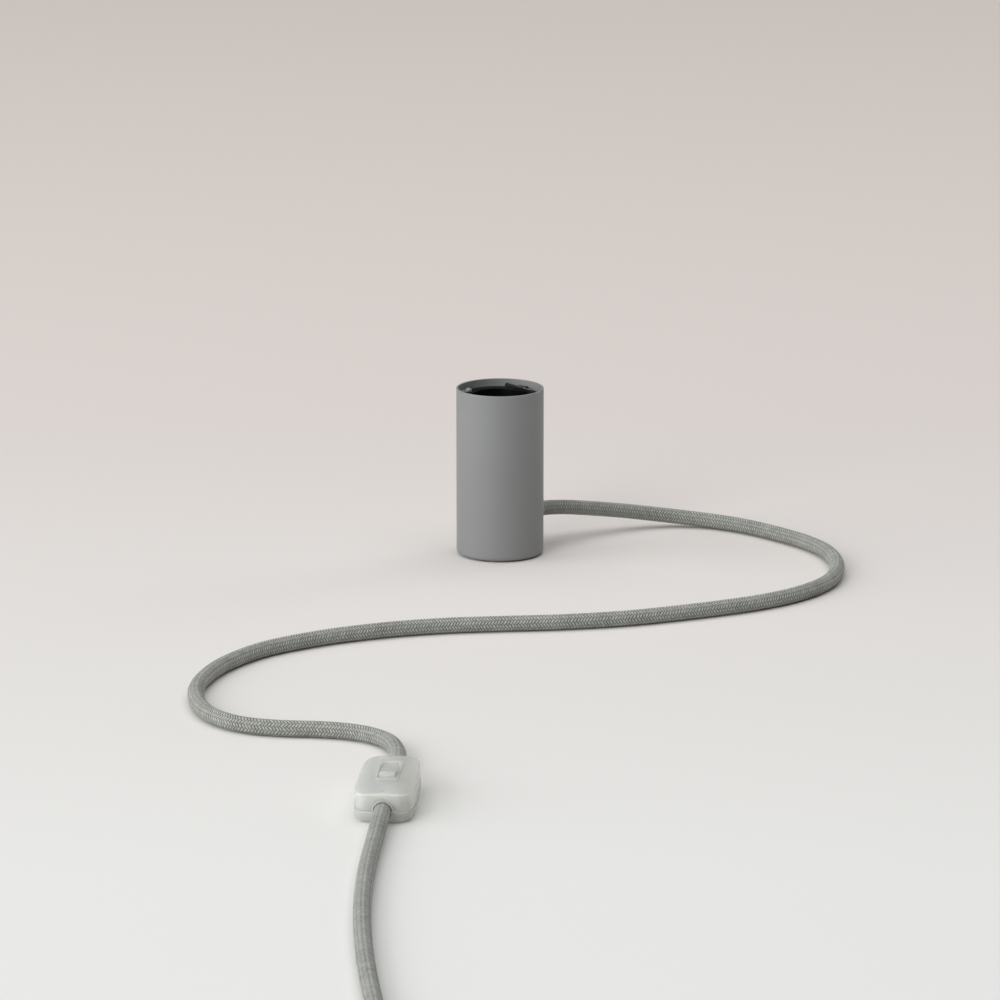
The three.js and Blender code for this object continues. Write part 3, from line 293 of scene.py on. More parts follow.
def braid_map(run, columns):
    """UV corners of a tube's quads: u once round the columns, v the run in metres."""
    below, above = (np.repeat(part[:, None], columns, 1) for part in (run[:-1], run[1:]))
    left, right = (np.broadcast_to((np.arange(columns) + i) / columns, below.shape) for i in (0, 1))
    u = np.stack([left, right, right, left], -1).reshape(-1, 4)
    v = np.stack([below, below, above, above], -1).reshape(-1, 4)
    return u, v


def mesh_of(name, grid, ring=False, run=None, crease=50):
    """A closed mesh from grid[row, column]. Columns always close on themselves. Rows close too for a ring;
    otherwise the first and last rows are poles, one point each. Faces are turned outwards by the sign of the
    volume, the sum of corner . (corner x corner). run, one length per row, writes a UV map."""
    rows, columns = grid.shape[:2]
    if ring:
        points = grid.reshape(-1, 3)
        index = np.arange(rows * columns).reshape(rows, columns)
        index = np.vstack([index, index[:1]])
        fans = np.empty((0, 3), int)
    else:
        points = np.vstack([grid[1:-1].reshape(-1, 3), grid[:1, 0], grid[-1:, 0]])
        index = np.arange((rows - 2) * columns).reshape(rows - 2, columns)
        first, last = np.full(columns, len(points) - 2), np.full(columns, len(points) - 1)
        start, end = index[0], index[-1]
        first_fan = np.stack([first, np.roll(start, -1), start], -1)
        fans = np.vstack([first_fan, np.stack([last, end, np.roll(end, -1)], -1)])
    below, above = index[:-1], index[1:]
    quads = np.stack([below, np.roll(below, -1, 1), np.roll(above, -1, 1), above], -1).reshape(-1, 4)
    halves = np.vstack([quads[:, [0, 1, 2]], quads[:, [0, 2, 3]], fans])
    corners = points[halves] - points.mean(0)
    volume = np.einsum("ij,ij->i", corners[:, 0], np.cross(corners[:, 1], corners[:, 2])).sum()
    order = -1 if volume < 0 else 1
    quads, fans = quads[:, ::order], fans[:, ::order]
    loops = np.concatenate([quads.ravel(), fans.ravel()]).astype(np.int32)
    sizes = np.concatenate([np.full(len(quads), 4), np.full(len(fans), 3)])
    starts = np.concatenate([[0], np.cumsum(sizes)[:-1]]).astype(np.int32)
    mesh = bpy.data.meshes.new(name)
    mesh.vertices.add(len(points))
    mesh.vertices.foreach_set("co", points.astype(np.float32).ravel())
    mesh.loops.add(len(loops))
    mesh.loops.foreach_set("vertex_index", loops)
    mesh.polygons.add(len(sizes))
    mesh.polygons.foreach_set("loop_start", starts)
    if run is not None:
        u, v = braid_map(np.asarray(run, float)[1:-1], columns)
        ends = np.tile([0.5, 0.0], (fans.size, 1))
        pairs = np.vstack([np.stack([u[:, ::order].ravel(), v[:, ::order].ravel()], -1), ends])
        layer = mesh.uv_layers.new(name="braid_uv")
        layer.data.foreach_set("uv", pairs.astype(np.float32).ravel())
    mesh.update(calc_edges=True)
    mesh.validate()
    smooth(mesh, crease)
    return mesh


def smooth(mesh, crease):
    """Smooth shading, with an edge left sharp where its faces meet at more than crease degrees."""
    mesh.polygons.foreach_set("use_smooth", np.ones(len(mesh.polygons), bool))
    mesh.set_sharp_from_angle(angle=math.radians(crease))


def linked(name, mesh):
    """An object of a mesh, in the scene."""
    obj = bpy.data.objects.new(name, mesh)
    bpy.context.scene.collection.objects.link(obj)
    return obj


def show(name, meshes, finish_name, replaced=(), body=BODY):
    """One object from one mesh or several, with its finish, its body and the nodes that it stands for."""
    meshes = meshes if isinstance(meshes, list) else [meshes]
    obj, *others = [linked(name, mesh) for mesh in meshes]
    if others:
        with bpy.context.temp_override(
            active_object=obj, object=obj, selected_editable_objects=[obj, *others]
        ):
            bpy.ops.object.join()
    obj.data.materials.clear()
    obj.data.materials.append(finish(finish_name))
    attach(obj, body)
    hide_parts(*replaced)
    return obj


def carve(mesh, cutters):
    """mesh with closed cutter meshes taken away from it, as a new mesh."""
    obj = linked("carved", mesh)
    tools = [linked("cutter", cutter) for cutter in cutters]
    for tool in tools:
        change = obj.modifiers.new("cut", "BOOLEAN")
        change.operation, change.solver, change.object = "DIFFERENCE", "EXACT", tool
    bpy.context.view_layer.update()
    ready = obj.evaluated_get(bpy.context.evaluated_depsgraph_get())
    result = bpy.data.meshes.new_from_object(ready)
    for used in [obj, *tools]:
        bpy.data.objects.remove(used)
    smooth(result, 35)
    return result


def smooth_path(points, spacing):
    """A curve through the points, sampled every spacing: a centripetal Catmull-Rom curve. Between two points
    it is the cubic whose end slopes come from the neighbours, weighed by the roots of the distances."""
    points = np.asarray(points, float)
    full = np.vstack([2 * points[0] - points[1], points, 2 * points[-1] - points[-2]])
    p0, p1, p2, p3 = full[:-3], full[1:-2], full[2:-1], full[3:]
    roots = np.linalg.norm(np.diff(full, axis=0), axis=1, keepdims=True) ** 0.5
    d0, d1, d2 = roots[:-2], roots[1:-1], roots[2:]
    m1 = ((p1 - p0) / d0 - (p2 - p0) / (d0 + d1) + (p2 - p1) / d1) * d1
    m2 = ((p2 - p1) / d1 - (p3 - p1) / (d1 + d2) + (p3 - p2) / d2) * d1
    t = np.linspace(0, 1, 64, endpoint=False)[None, :, None]
    p1, p2, m1, m2 = (a[:, None, :] for a in (p1, p2, m1, m2))
    cubic = (2 * t**3 - 3 * t**2 + 1) * p1 + (t**3 - 2 * t**2 + t) * m1
    cubic = cubic + (3 * t**2 - 2 * t**3) * p2 + (t**3 - t**2) * m2
    return even(np.vstack([cubic.reshape(-1, 3), points[-1:]]), spacing)


def braid_height(u, v, carriers, pitch):
    """Height of a two-over-two braid, 0 in the grooves and 1 on the crests. Two families of strands wind
    opposite ways, a = carriers u + v / pitch and b = carriers u - v / pitch. Where floor(a) + floor(b),
    counted in fours, is under two, the first lies on top. A strand's crest is the sine of its share
    across, lower at its ends."""
    a, b = carriers * u + v / pitch, carriers * u - v / pitch
    order = np.mod(np.floor(a) + np.floor(b), 4)
    a_part, b_part = np.mod(a, 1), np.mod(b, 1)
    a_on_top = order < 2
    across = np.where(a_on_top, a_part, b_part)
    share = np.where(a_on_top, order + b_part, order - 2 + a_part) / 2
    return np.sin(np.pi * across) * (0.55 + 0.45 * np.sin(np.pi * share))


def cord_mesh(name, path, sizes, sides=24, relief=0.00012):
    """A braided tube along a path that is never upright: side = z x tangent, up = tangent x side, and
    point = centre + radius (cos turn side + sin turn up). The braid's height moves the surface in and out."""
    tangent = unit(np.gradient(path, axis=0))
    side = unit(np.cross([0, 0, 1.0], tangent))
    up = np.cross(tangent, side)
    run = run_of(path)
    u = np.arange(sides) / sides
    height = braid_height(u[None, :], run[:, None], sizes.braid_carriers, sizes.braid_pitch)
    radius = sizes.cord_diameter / 2 - relief * (1 - height)
    turn = 2 * np.pi * u[None, :, None]
    grid = path[:, None] + radius[..., None] * (np.cos(turn) * side[:, None] + np.sin(turn) * up[:, None])
    return mesh_of(name, capped(grid, path[[0, -1]]), run=[0, *run, run[-1]], crease=80)


def superellipse(turns, width, depth, power):
    """Reach in given directions to the outline |x / width|^n + |y / depth|^n = 1."""
    return (np.abs(np.cos(turns) / width) ** power + np.abs(np.sin(turns) / depth) ** power) ** (-1 / power)


def even_turns(width, depth, power, count):
    """Directions round a superellipse that divide its outline into equal lengths."""
    turn = np.linspace(0, 2 * np.pi, 4097)
    reach = superellipse(turn, width, depth, power)
    run = run_of(np.stack([reach * np.cos(turn), reach * np.sin(turn)], -1))
    return np.interp(np.arange(count) / count * run[-1], run, turn)


def oval(turns, width, depth, power, pinch=0.0, taper=0.0):
    """The points of a superellipse in given directions, x narrowed by pinch towards both ends of y and by
    taper towards +y."""
    reach = superellipse(turns, width, depth, power)
    x, y = reach * np.cos(turns), reach * np.sin(turns)
    return np.stack([x * (1 - pinch * (y / depth) ** 2 - taper * y / depth), y], -1)


def level(line, height):
    """A flat outline lifted to a height, one number or one per point."""
    return np.concatenate([line, np.broadcast_to(np.asarray(height, float), len(line))[:, None]], -1)


# Materials


def add(tree, kind, settings=None, **inputs):
    """Adds a node with its settings and inputs. An input is a value or another node's output; its name is the
    socket's, with underscores for spaces, or in_0, in_1 and so on for its place."""
    node = tree.nodes.new(kind)
    for name, value in (settings or {}).items():
        setattr(node, name, value)
    for name, value in inputs.items():
        socket = node.inputs[int(name[3:])] if name[:3] == "in_" else node.inputs[name.replace("_", " ")]
        if isinstance(value, bpy.types.NodeSocket):
            tree.links.new(value, socket)
        else:
            socket.default_value = value
    return node


def opaque(colour, share=1.0):
    """A linear colour with alpha, made darker by share."""
    return tuple(c * share for c in tuple(colour)[:3]) + (1.0,)


def started(name):
    """A new material with its node tree and its shader."""
    material = bpy.data.materials.new(name)
    material.use_nodes = True
    tree = material.node_tree
    return material, tree, tree.nodes["Principled BSDF"]


def grained(name, colour, dark, grain, lift, rough, spread, patch, sockets=None):
    """A finish with two sizes of unevenness: slow patches that turn the colour towards dark and move the
    roughness by spread, and a grain that lifts the surface. Grain and patch are in mm, lift in metres."""
    material, tree, shader = started(name)
    place = add(tree, "ShaderNodeTexCoord").outputs["Object"]
    slow = add(tree, "ShaderNodeTexNoise", Vector=place, Scale=1000.0 / patch, Detail=3.0).outputs[0]
    fine = add(tree, "ShaderNodeTexNoise", Vector=place, Scale=1000.0 / grain, Detail=2.0).outputs[0]
    both = add(tree, "ShaderNodeMath", {"operation": "MULTIPLY_ADD"}, in_0=fine, in_1=0.35, in_2=slow)
    mixed = add(tree, "ShaderNodeMix", {"data_type": "RGBA"}, in_6=opaque(dark), in_7=opaque(colour))
    for low, high, use in (
        (0.0, 1.0, mixed.inputs[0]),
        (rough - spread, rough + spread, shader.inputs["Roughness"]),
    ):
        part = add(tree, "ShaderNodeMapRange", Value=both.outputs[0], From_Min=0.35, To_Min=low, To_Max=high)
        tree.links.new(part.outputs[0], use)
    relief = add(tree, "ShaderNodeBump", Height=fine, Strength=0.6, Distance=lift)
    tree.links.new(mixed.outputs[2], shader.inputs["Base Color"])
    tree.links.new(relief.outputs[0], shader.inputs["Normal"])
    for socket, value in (sockets or {}).items():
        shader.inputs[socket].default_value = value
    return material


# How the braid is worked out, one value after another: its name, the sum that makes it, and what goes in, by
# name or as a number. It is braid_height's formula, with strands that wander by up to a third of their width
BRAID_SUMS = (
    ("round", "MULTIPLY", "u", "carriers"),
    ("long", "DIVIDE", "v", "pitch"),
    ("drift", "MULTIPLY_ADD", "wander", 0.7, -0.35),
    ("drifted", "ADD", "long", "drift"),
    ("a", "ADD", "round", "drifted"),
    ("b", "SUBTRACT", "round", "drifted"),
    ("a_index", "FLOOR", "a"),
    ("b_index", "FLOOR", "b"),
    ("a_part", "SUBTRACT", "a", "a_index"),
    ("b_part", "SUBTRACT", "b", "b_index"),
    ("indices", "ADD", "a_index", "b_index"),
    ("order", "FLOORED_MODULO", "indices", 4.0),
    ("b_on_top", "GREATER_THAN", "order", 1.5),
    ("b_less_a", "SUBTRACT", "b_part", "a_part"),
    ("across", "MULTIPLY_ADD", "b_on_top", "b_less_a", "a_part"),
    ("a_less_b", "SUBTRACT", "a_part", "b_part"),
    ("other_part", "MULTIPLY_ADD", "b_on_top", "a_less_b", "b_part"),
    ("index_step", "SUBTRACT", "b_index", "a_index"),
    ("index", "MULTIPLY_ADD", "b_on_top", "index_step", "a_index"),
    ("float_step", "MULTIPLY_ADD", "b_on_top", -2.0, "order"),
    ("along", "ADD", "float_step", "other_part"),
    ("along_turn", "MULTIPLY", "along", math.pi / 2),
    ("across_turn", "MULTIPLY", "across", math.pi),
    ("crest", "SINE", "across_turn"),
    ("length_wave", "SINE", "along_turn"),
    ("length_share", "MULTIPLY_ADD", "length_wave", 0.45, 0.55),
    ("height", "MULTIPLY", "crest", "length_share"),
    ("thread_turn", "MULTIPLY", "across", 8 * math.pi),
    ("threads", "SINE", "thread_turn"),
    ("relief", "MULTIPLY_ADD", "threads", 0.07, "height"),
    # Painted light and shade: the share of the light crest colour grows with the braid's height, so the
    # grooves are shaded in the colour itself
    ("bright", "POWER", "height", 1.3),
)


def braided(name, colours, sizes):
    """Braided polyester sleeving over a round cord. Twelve strands each way make columns of slanting floats,
    which the eye reads as a herringbone; each float is a bundle of threads. Its colour is painted light on
    the
    crest and dark in the groove beside it: painted light and shade. The pattern follows the cord's own UV
    map."""
    material, tree, shader = started(name)
    plan = add(tree, "ShaderNodeUVMap", {"uv_map": "braid_uv"})
    split = add(tree, "ShaderNodeSeparateXYZ", Vector=plan.outputs[0])
    place = add(tree, "ShaderNodeTexCoord").outputs["Object"]
    # Strands wander over 3.6 mm, and the tone changes slowly over 17 mm
    wander = add(tree, "ShaderNodeTexNoise", Vector=place, Scale=1000.0 / 3.57, Detail=1.0).outputs[0]
    slow = add(tree, "ShaderNodeTexNoise", Vector=place, Scale=1000.0 / 16.7, Detail=3.0).outputs[0]
    values = {"u": split.outputs[0], "v": split.outputs[1], "wander": wander}
    values["carriers"], values["pitch"] = float(sizes.braid_carriers), sizes.braid_pitch
    for value_name, operation, *parts in BRAID_SUMS:
        inputs = {f"in_{i}": values.get(part, part) for i, part in enumerate(parts)}
        values[value_name] = add(tree, "ShaderNodeMath", {"operation": operation}, **inputs).outputs[0]
    # Each strand has its own slight tone
    strand = add(tree, "ShaderNodeTexWhiteNoise", {"noise_dimensions": "1D"}, W=values["index"]).outputs[0]
    patches = add(tree, "ShaderNodeMath", {"operation": "MULTIPLY_ADD"}, in_0=slow, in_1=0.3, in_2=-0.26)
    tone = add(tree, "ShaderNodeMath", {"operation": "MULTIPLY_ADD"}, in_0=strand, in_1=0.22)
    tree.links.new(patches.outputs[0], tone.inputs[2])
    # Painted light and shade from the braid's height, plus each strand's own tone
    painted_light_and_tone = add(tree, "ShaderNodeMath", {"operation": "ADD"}, in_0=values["bright"], in_1=tone.outputs[0])
    mixed = add(
        tree,
        "ShaderNodeMix",
        {"data_type": "RGBA", "clamp_factor": True},
        in_0=painted_light_and_tone.outputs[0],
        in_6=opaque(colours.braid_shade),
        in_7=opaque(colours.braid),
    )
    bump = add(tree, "ShaderNodeBump", Height=values["relief"], Strength=1.0, Distance=0.0004)
    tree.links.new(mixed.outputs[2], shader.inputs["Base Color"])
    tree.links.new(bump.outputs[0], shader.inputs["Normal"])
    for socket, value in (("Roughness", 0.72), ("Sheen Weight", 0.15), ("Sheen Roughness", 0.4)):
        shader.inputs[socket].default_value = value
    return material


def make_finishes(colours, sizes):
    """All finishes by name. A row is what grained takes: the colour, a darker one, the grain, its lift, the
    roughness, its spread, the size of the patches and other sockets."""
    paint, frosted, strap = colours.paint, colours.frosted, colours.strap
    cloudy = {
        "Transmission Weight": 0.3,
        "Alpha": 0.55,
        "IOR": 1.3,
        "Subsurface Weight": 1.0,
        "Subsurface Radius": (1.0, 1.0, 1.0),
        "Subsurface Scale": 0.003,
    }
    metal, fuzz = {"Metallic": 1.0}, {"Sheen Weight": 0.3}
    rows = {
        # Fine-textured polyester powder coat on steel: even, matt, with a slight grain of half a millimetre
        "powder_coat": (paint, opaque(paint, 0.9), 0.5, 3e-5, 0.5, 0.06, 33.3, {"Specular IOR Level": 0.45}),
        # Moulded black phenolic: nearly black, half gloss
        "black_phenolic": (
            colours.black, linear("#040405"), 0.3, 6e-6, 0.42, 0.05, 16.7, {"Specular IOR Level": 0.1}
        ),
        # Nickel-plated brass: bright, slightly warm, with faint drawing marks
        "nickel_plate": (linear("#c9c6bf"), linear("#a9a59d"), 0.2, 3e-6, 0.22, 0.06, 11.1, metal),
        # Zinc-plated steel: grey, a little dull
        "zinc_plate": (linear("#b4b6b8"), linear("#8e9193"), 0.3, 4e-6, 0.36, 0.1, 8.33, metal),
        # Passivated spring steel: mid grey, satin, no mirror
        "satin_steel": (linear("#8d908c"), linear("#737672"), 0.3, 4e-6, 0.5, 0.06, 8.33, {"Metallic": 0.4}),
        # Spring steel coloured nearly black, dull
        "near_black_steel": (linear("#16181a"), linear("#0d0e10"), 0.3, 4e-6, 0.5, 0.05, 8.33, {"Metallic": 0.3}),
        # Phosphor bronze strip: warm, satin
        "bronze_strip": (linear("#c39a5c"), linear("#9c7440"), 0.25, 4e-6, 0.33, 0.08, 6.67, metal),
        # Cast iron, as cast and oiled: dark, rough, with a sandy skin
        "cast_iron": (linear("#4b4c4d"), linear("#2e2e2f"), 0.9, 1.2e-4, 0.62, 0.1, 5.56, {"Metallic": 0.6}),
        # Moulded rubber: charcoal, dull
        "moulded_rubber": (linear("#2b2c2c"), linear("#1d1e1e"), 0.25, 1e-5, 0.72, 0.05, 8.33),
        # Pressed wool felt: fibrous, with no gloss
        "wool_felt": (linear("#55565a"), linear("#3a3b3e"), 0.35, 1.5e-4, 0.95, 0.03, 2.5, fuzz),
        # Frosted polycarbonate: half clear, half milky under a satin skin, so the floor's light comes through
        "frosted_plastic": (frosted, opaque(frosted, 0.95), 0.4, 6e-6, 0.15, 0.04, 16.7, cloudy),
        # Extruded PVC insulation: smooth, slightly glossy
        "brown_pvc": (linear("#5f3b24"), linear("#4a2d1b"), 0.3, 5e-6, 0.4, 0.05, 11.1),
        "blue_pvc": (linear("#2f6296"), linear("#254f7a"), 0.3, 5e-6, 0.4, 0.05, 11.1),
        # Woven nylon strap with a looped face: dull, with a weave of half a millimetre
        "nylon_strap": (strap, opaque(strap, 0.6), 0.5, 1.2e-4, 0.9, 0.04, 2.0, fuzz),
    }
    finishes = {name: grained(name, *row) for name, row in rows.items()}
    finishes["braid"] = braided("braided_polyester", colours, sizes)
    return finishes


# Filled once, when the first piece asks for its finish
FINISHES = {}


def finish(name):
    """A finish by name; they are all made once, from the colours and sizes of the scene."""
    if not FINISHES:
        scene = bpy.context.scene
        FINISHES.update(make_finishes(scene.lamp_cord_colours, scene.lamp_cord_sizes))
    return FINISHES[name]


# Operators, one for each group of pieces


class LAMPCORD_OT_camera(bpy.types.Operator):
    """Camera of the photograph: a long lens, low above the floor, level with the object."""

    bl_idname = "lampcord.camera"
    bl_label = "Camera"

    def execute(self, context):
        lens = bpy.data.cameras.new("camera")
        lens.sensor_width, lens.lens, lens.clip_end = CAMERA_SENSOR, CAMERA_LENS, 50.0
        camera = linked("camera", lens)
        camera.location = CAMERA_PLACE
        camera.rotation_euler = (math.pi / 2 - CAMERA_DIP, 0.0, 0.0)
        context.scene.camera = camera
        return {"FINISHED"}


class LAMPCORD_OT_cords(bpy.types.Operator):
    """The braided cord in its two stretches: holder to switch, and switch through the coil to the plug."""

    bl_idname = "lampcord.cords"
    bl_label = "Braided cord"

    def execute(self, context):
        sizes = context.scene.lamp_cord_sizes
        step = sizes.braid_pitch / 3
        first = smooth_path([CORD_START, BEHIND_WALL, EXIT_POINT, *ROUTE_TO_SWITCH], step)
        # The coil: x = r cos a, y = r sin a, and z climbs one cord's width near the end of each turn, between
        # two angles before that end
        climb_start, climb_end, points = 1.3, 0.35, 600
        turn = np.linspace(0, 2 * np.pi * COIL_TURNS, points)
        ahead = 2 * np.pi - turn % (2 * np.pi)
        layer = np.floor(turn / (2 * np.pi)) + gentle((climb_start - ahead) / (climb_start - climb_end))
        x = COIL_MIDDLE[0] + sizes.coil_radius * np.cos(np.pi + turn)
        y = COIL_MIDDLE[1] + sizes.coil_radius * np.sin(np.pi + turn)
        coil = np.stack([x, y, COIL_BASE + sizes.cord_diameter * layer], -1)
        second = smooth_path(np.vstack([ROUTE_TO_COIL, coil[6:-6:6], ROUTE_TO_PLUG]), step)
        for end, path, nodes in (
            ("to_switch", first, ["cord_lamp_to_switch", "cord_tail"]),
            ("to_plug", second, ["cord_switch_to_coil", "cord_coil", "cord_coil_to_plug"]),
        ):
            name = "braided_cord_" + end
            show(name, cord_mesh(name, path, sizes), "braid", nodes)
        return {"FINISHED"}


class LAMPCORD_OT_housing(bpy.types.Operator):
    """Powder-coated housing, a drawn cup with a rounded foot, and the felt pad under it."""

    bl_idname = "lampcord.housing"
    bl_label = "Housing and foot pad"

    def execute(self, context):
        sizes = context.scene.lamp_cord_sizes
        outer, top = sizes.housing_radius, sizes.housing_height
        inner = outer - sizes.housing_wall
        under, pad_seat, base, recess, fillet = 0.0005, 0.001, 0.0025, 0.0173, 0.002
        outline = eased(
            [
                (0, pad_seat, 0), (recess, pad_seat, 0), (recess, under, 0.0001), (outer, under, fillet),
                (outer, top, 0.00035), (inner, top, 0.0003), (inner, base, fillet), (0, base, 0),
            ],
            9,
        )
        bore = mesh_of("bore", from_exit(along_x(bar(0.0049, 0.015, 0.03))))
        housing = carve(mesh_of("housing", turned(outline, 192), crease=60), [bore])
        show("housing", housing, "powder_coat", ["sleeve"])
        pad = 0.017
        disc = eased([(0, 0, 0), (pad, 0, 0.0003), (pad, pad_seat, 0.0002), (0, pad_seat, 0)], 5)
        show("felt_pad", mesh_of("felt_pad", turned(disc, 96)), "wool_felt", ["foot_pad"])
        return {"FINISHED"}


class LAMPCORD_OT_bulb_holder(bpy.types.Operator):
    """Black skirt of the bulb holder and the threaded shell in it."""

    bl_idname = "lampcord.bulb_holder"
    bl_label = "Bulb holder"

    def execute(self, context):
        sizes = context.scene.lamp_cord_sizes
        outer, mouth, top = sizes.skirt_radius, sizes.mouth_radius, sizes.skirt_top
        bore, foot, ledge = 0.0173, 0.034, 0.0483
        outline = eased(
            [
                (bore, foot, 0.0001), (outer, foot, 0.0003), (outer, top, 0.0007),
                (mouth, top, 0.0008), (mouth, ledge, 0.0002), (bore, ledge, 0.0002),
            ],
            7,
            closed=True,
        )
        skirt = mesh_of("holder_skirt_moulded", turned(outline, 144), ring=True)
        show("holder_skirt_moulded", skirt, "black_phenolic", ["holder_skirt"])
        # A rolled thread: radius = middle + wave cos(2 pi height / pitch - turn), fading out at both ends
        pitch, wave, wall, middle, seat = 0.00363, 0.00045, 0.00035, 0.013, 0.007
        rim, fade_in, fade_out, count = 0.0745, 0.003, 0.002, 96
        turn = 2 * np.pi * np.arange(count) / count
        height = np.linspace(ledge + wall, rim, 110)[:, None]
        fade = np.clip((height - ledge) / fade_in, 0, 1) * np.clip((rim - height) / fade_out, 0, 1)
        swing = wave * fade * np.cos(2 * np.pi * height / pitch - turn)
        outside, inside = (
            np.stack([radius * np.cos(turn), radius * np.sin(turn), np.repeat(height, count, 1)], -1)
            for radius in (middle + swing + wall / 2, middle + swing - wall / 2)
        )
        under = turned([(seat, ledge), (middle - 0.0006, ledge)], count)
        back = turned([(middle - 0.001, ledge + wall), (seat, ledge + wall)], count)
        grid = np.vstack([under, outside, inside[::-1], back])
        shell = mesh_of("threaded_shell", grid, ring=True, crease=60)
        show("threaded_shell", shell, "nickel_plate", ["screw_shell"])
        return {"FINISHED"}


class LAMPCORD_OT_clips(bpy.types.Operator):
    """The two spring clips between skirt and housing: a round nub at the left, a folded leaf at the right."""

    bl_idname = "lampcord.clips"
    bl_label = "Retaining clips"

    def execute(self, context):
        out, seat = 0.01955, context.scene.lamp_cord_sizes.skirt_top + 0.00055
        thick, edge = 0.0005, 0.00015
        left, right, fold = math.radians(167), math.radians(53), math.radians(46)

        def leaf(name, reach, width, turn):
            # A strip with rounded edges, upright along the housing's wall and bent inwards over the skirt
            line = eased([(out, 0.06, 0), (out, seat, 0.0006), (reach, seat, 0)], 7)
            line = np.vstack([line[:1], np.linspace(line[0], line[1], 8)[1:-1], line[1:]])
            corners = [(-width, -thick), (width, -thick), (width, thick), (-width, thick)]
            section = eased([(x / 2, y / 2, edge) for x, y in corners], 4, closed=True)
            return mesh_of(name, about_z(capped(strip(line, section)), turn), crease=40)

        nub_middle, nub_radius, nub_foot, nub_top = 0.0159, 0.0017, 0.0807, 0.0826
        dome = [(0, nub_foot, 0), (nub_radius, nub_foot, 0.0002), (nub_radius, nub_top, 0.0013)]
        dome = turned(eased([*dome, (0, nub_top, 0)], 8), 48)
        nub = mesh_of("nub", about_z(dome + np.array([nub_middle, 0, 0]), left))
        meshes = [leaf("spring_clip_left", nub_middle, 0.0032, left), nub]
        show("spring_clip_left", meshes, "satin_steel", ["retaining_clip_left"])

        # The folded edge rises evenly from its low end to its peak, then drops in a short slope
        half, low, high, peak = 0.0104, 0.00035, 0.0019, 0.93
        share = np.linspace(-1, 1, 25)[:, None]
        rise = low + (high - low) * (share + 1) / (1 + peak)
        rise = np.where(share > peak, high * np.clip((1 - share) / (1 - peak), 0.25, 1), rise)
        section = np.array([(-0.5, 0), (0.5, 0), (0.5, 0.85), (0.3, 1), (-0.3, 1), (-0.5, 0.85)])
        x, z = 0.0144 + section[:, 0] * thick, seat - 0.00025 + section[:, 1] * rise
        grid = np.stack(np.broadcast_arrays(x, half * share, z), -1)
        fin = mesh_of("fin", about_z(capped(grid), fold), crease=30)
        meshes = [leaf("spring_clip_right", 0.0143, 0.005, right), fin]
        clip = show("spring_clip_right", meshes, "near_black_steel", ["retaining_clip_right"])

        # The upper edge's upward-facing faces get the lighter satin steel finish: a painted highlight along
        # the edge
        mesh = clip.data
        mesh.materials.append(finish("satin_steel"))
        normals, middles = np.empty((2, len(mesh.polygons) * 3), np.float32)
        mesh.polygons.foreach_get("normal", normals)
        mesh.polygons.foreach_get("center", middles)
        painted_highlight = (normals[2::3] > 0.55) & (middles[2::3] > seat + 0.0003)
        mesh.polygons.foreach_set("material_index", painted_highlight.astype(np.int32))
        return {"FINISHED"}


class LAMPCORD_OT_exit_bushing(bpy.types.Operator):
    """Rubber bushing in the housing's wall, round the cord."""

    bl_idname = "lampcord.exit_bushing"
    bl_label = "Cord exit"

    def execute(self, context):
        hole, flange, body, mouth = 0.004, 0.0052, 0.0046, 0.0038
        start, shoulder, end = 0.0177, 0.019, 0.0222
        outline = eased(
            [
                (hole, start, 0.0002), (flange, start, 0.0003), (flange, shoulder, 0.0002),
                (body, shoulder, 0.0001), (body, end, 0.0004), (mouth, end, 0.0002),
            ],
            6,
            closed=True,
        )
        ring = mesh_of("exit_bushing", from_exit(along_x(turned(outline, 72))), ring=True)
        show("exit_bushing", ring, "moulded_rubber", ["cord_bushing"])
        return {"FINISHED"}


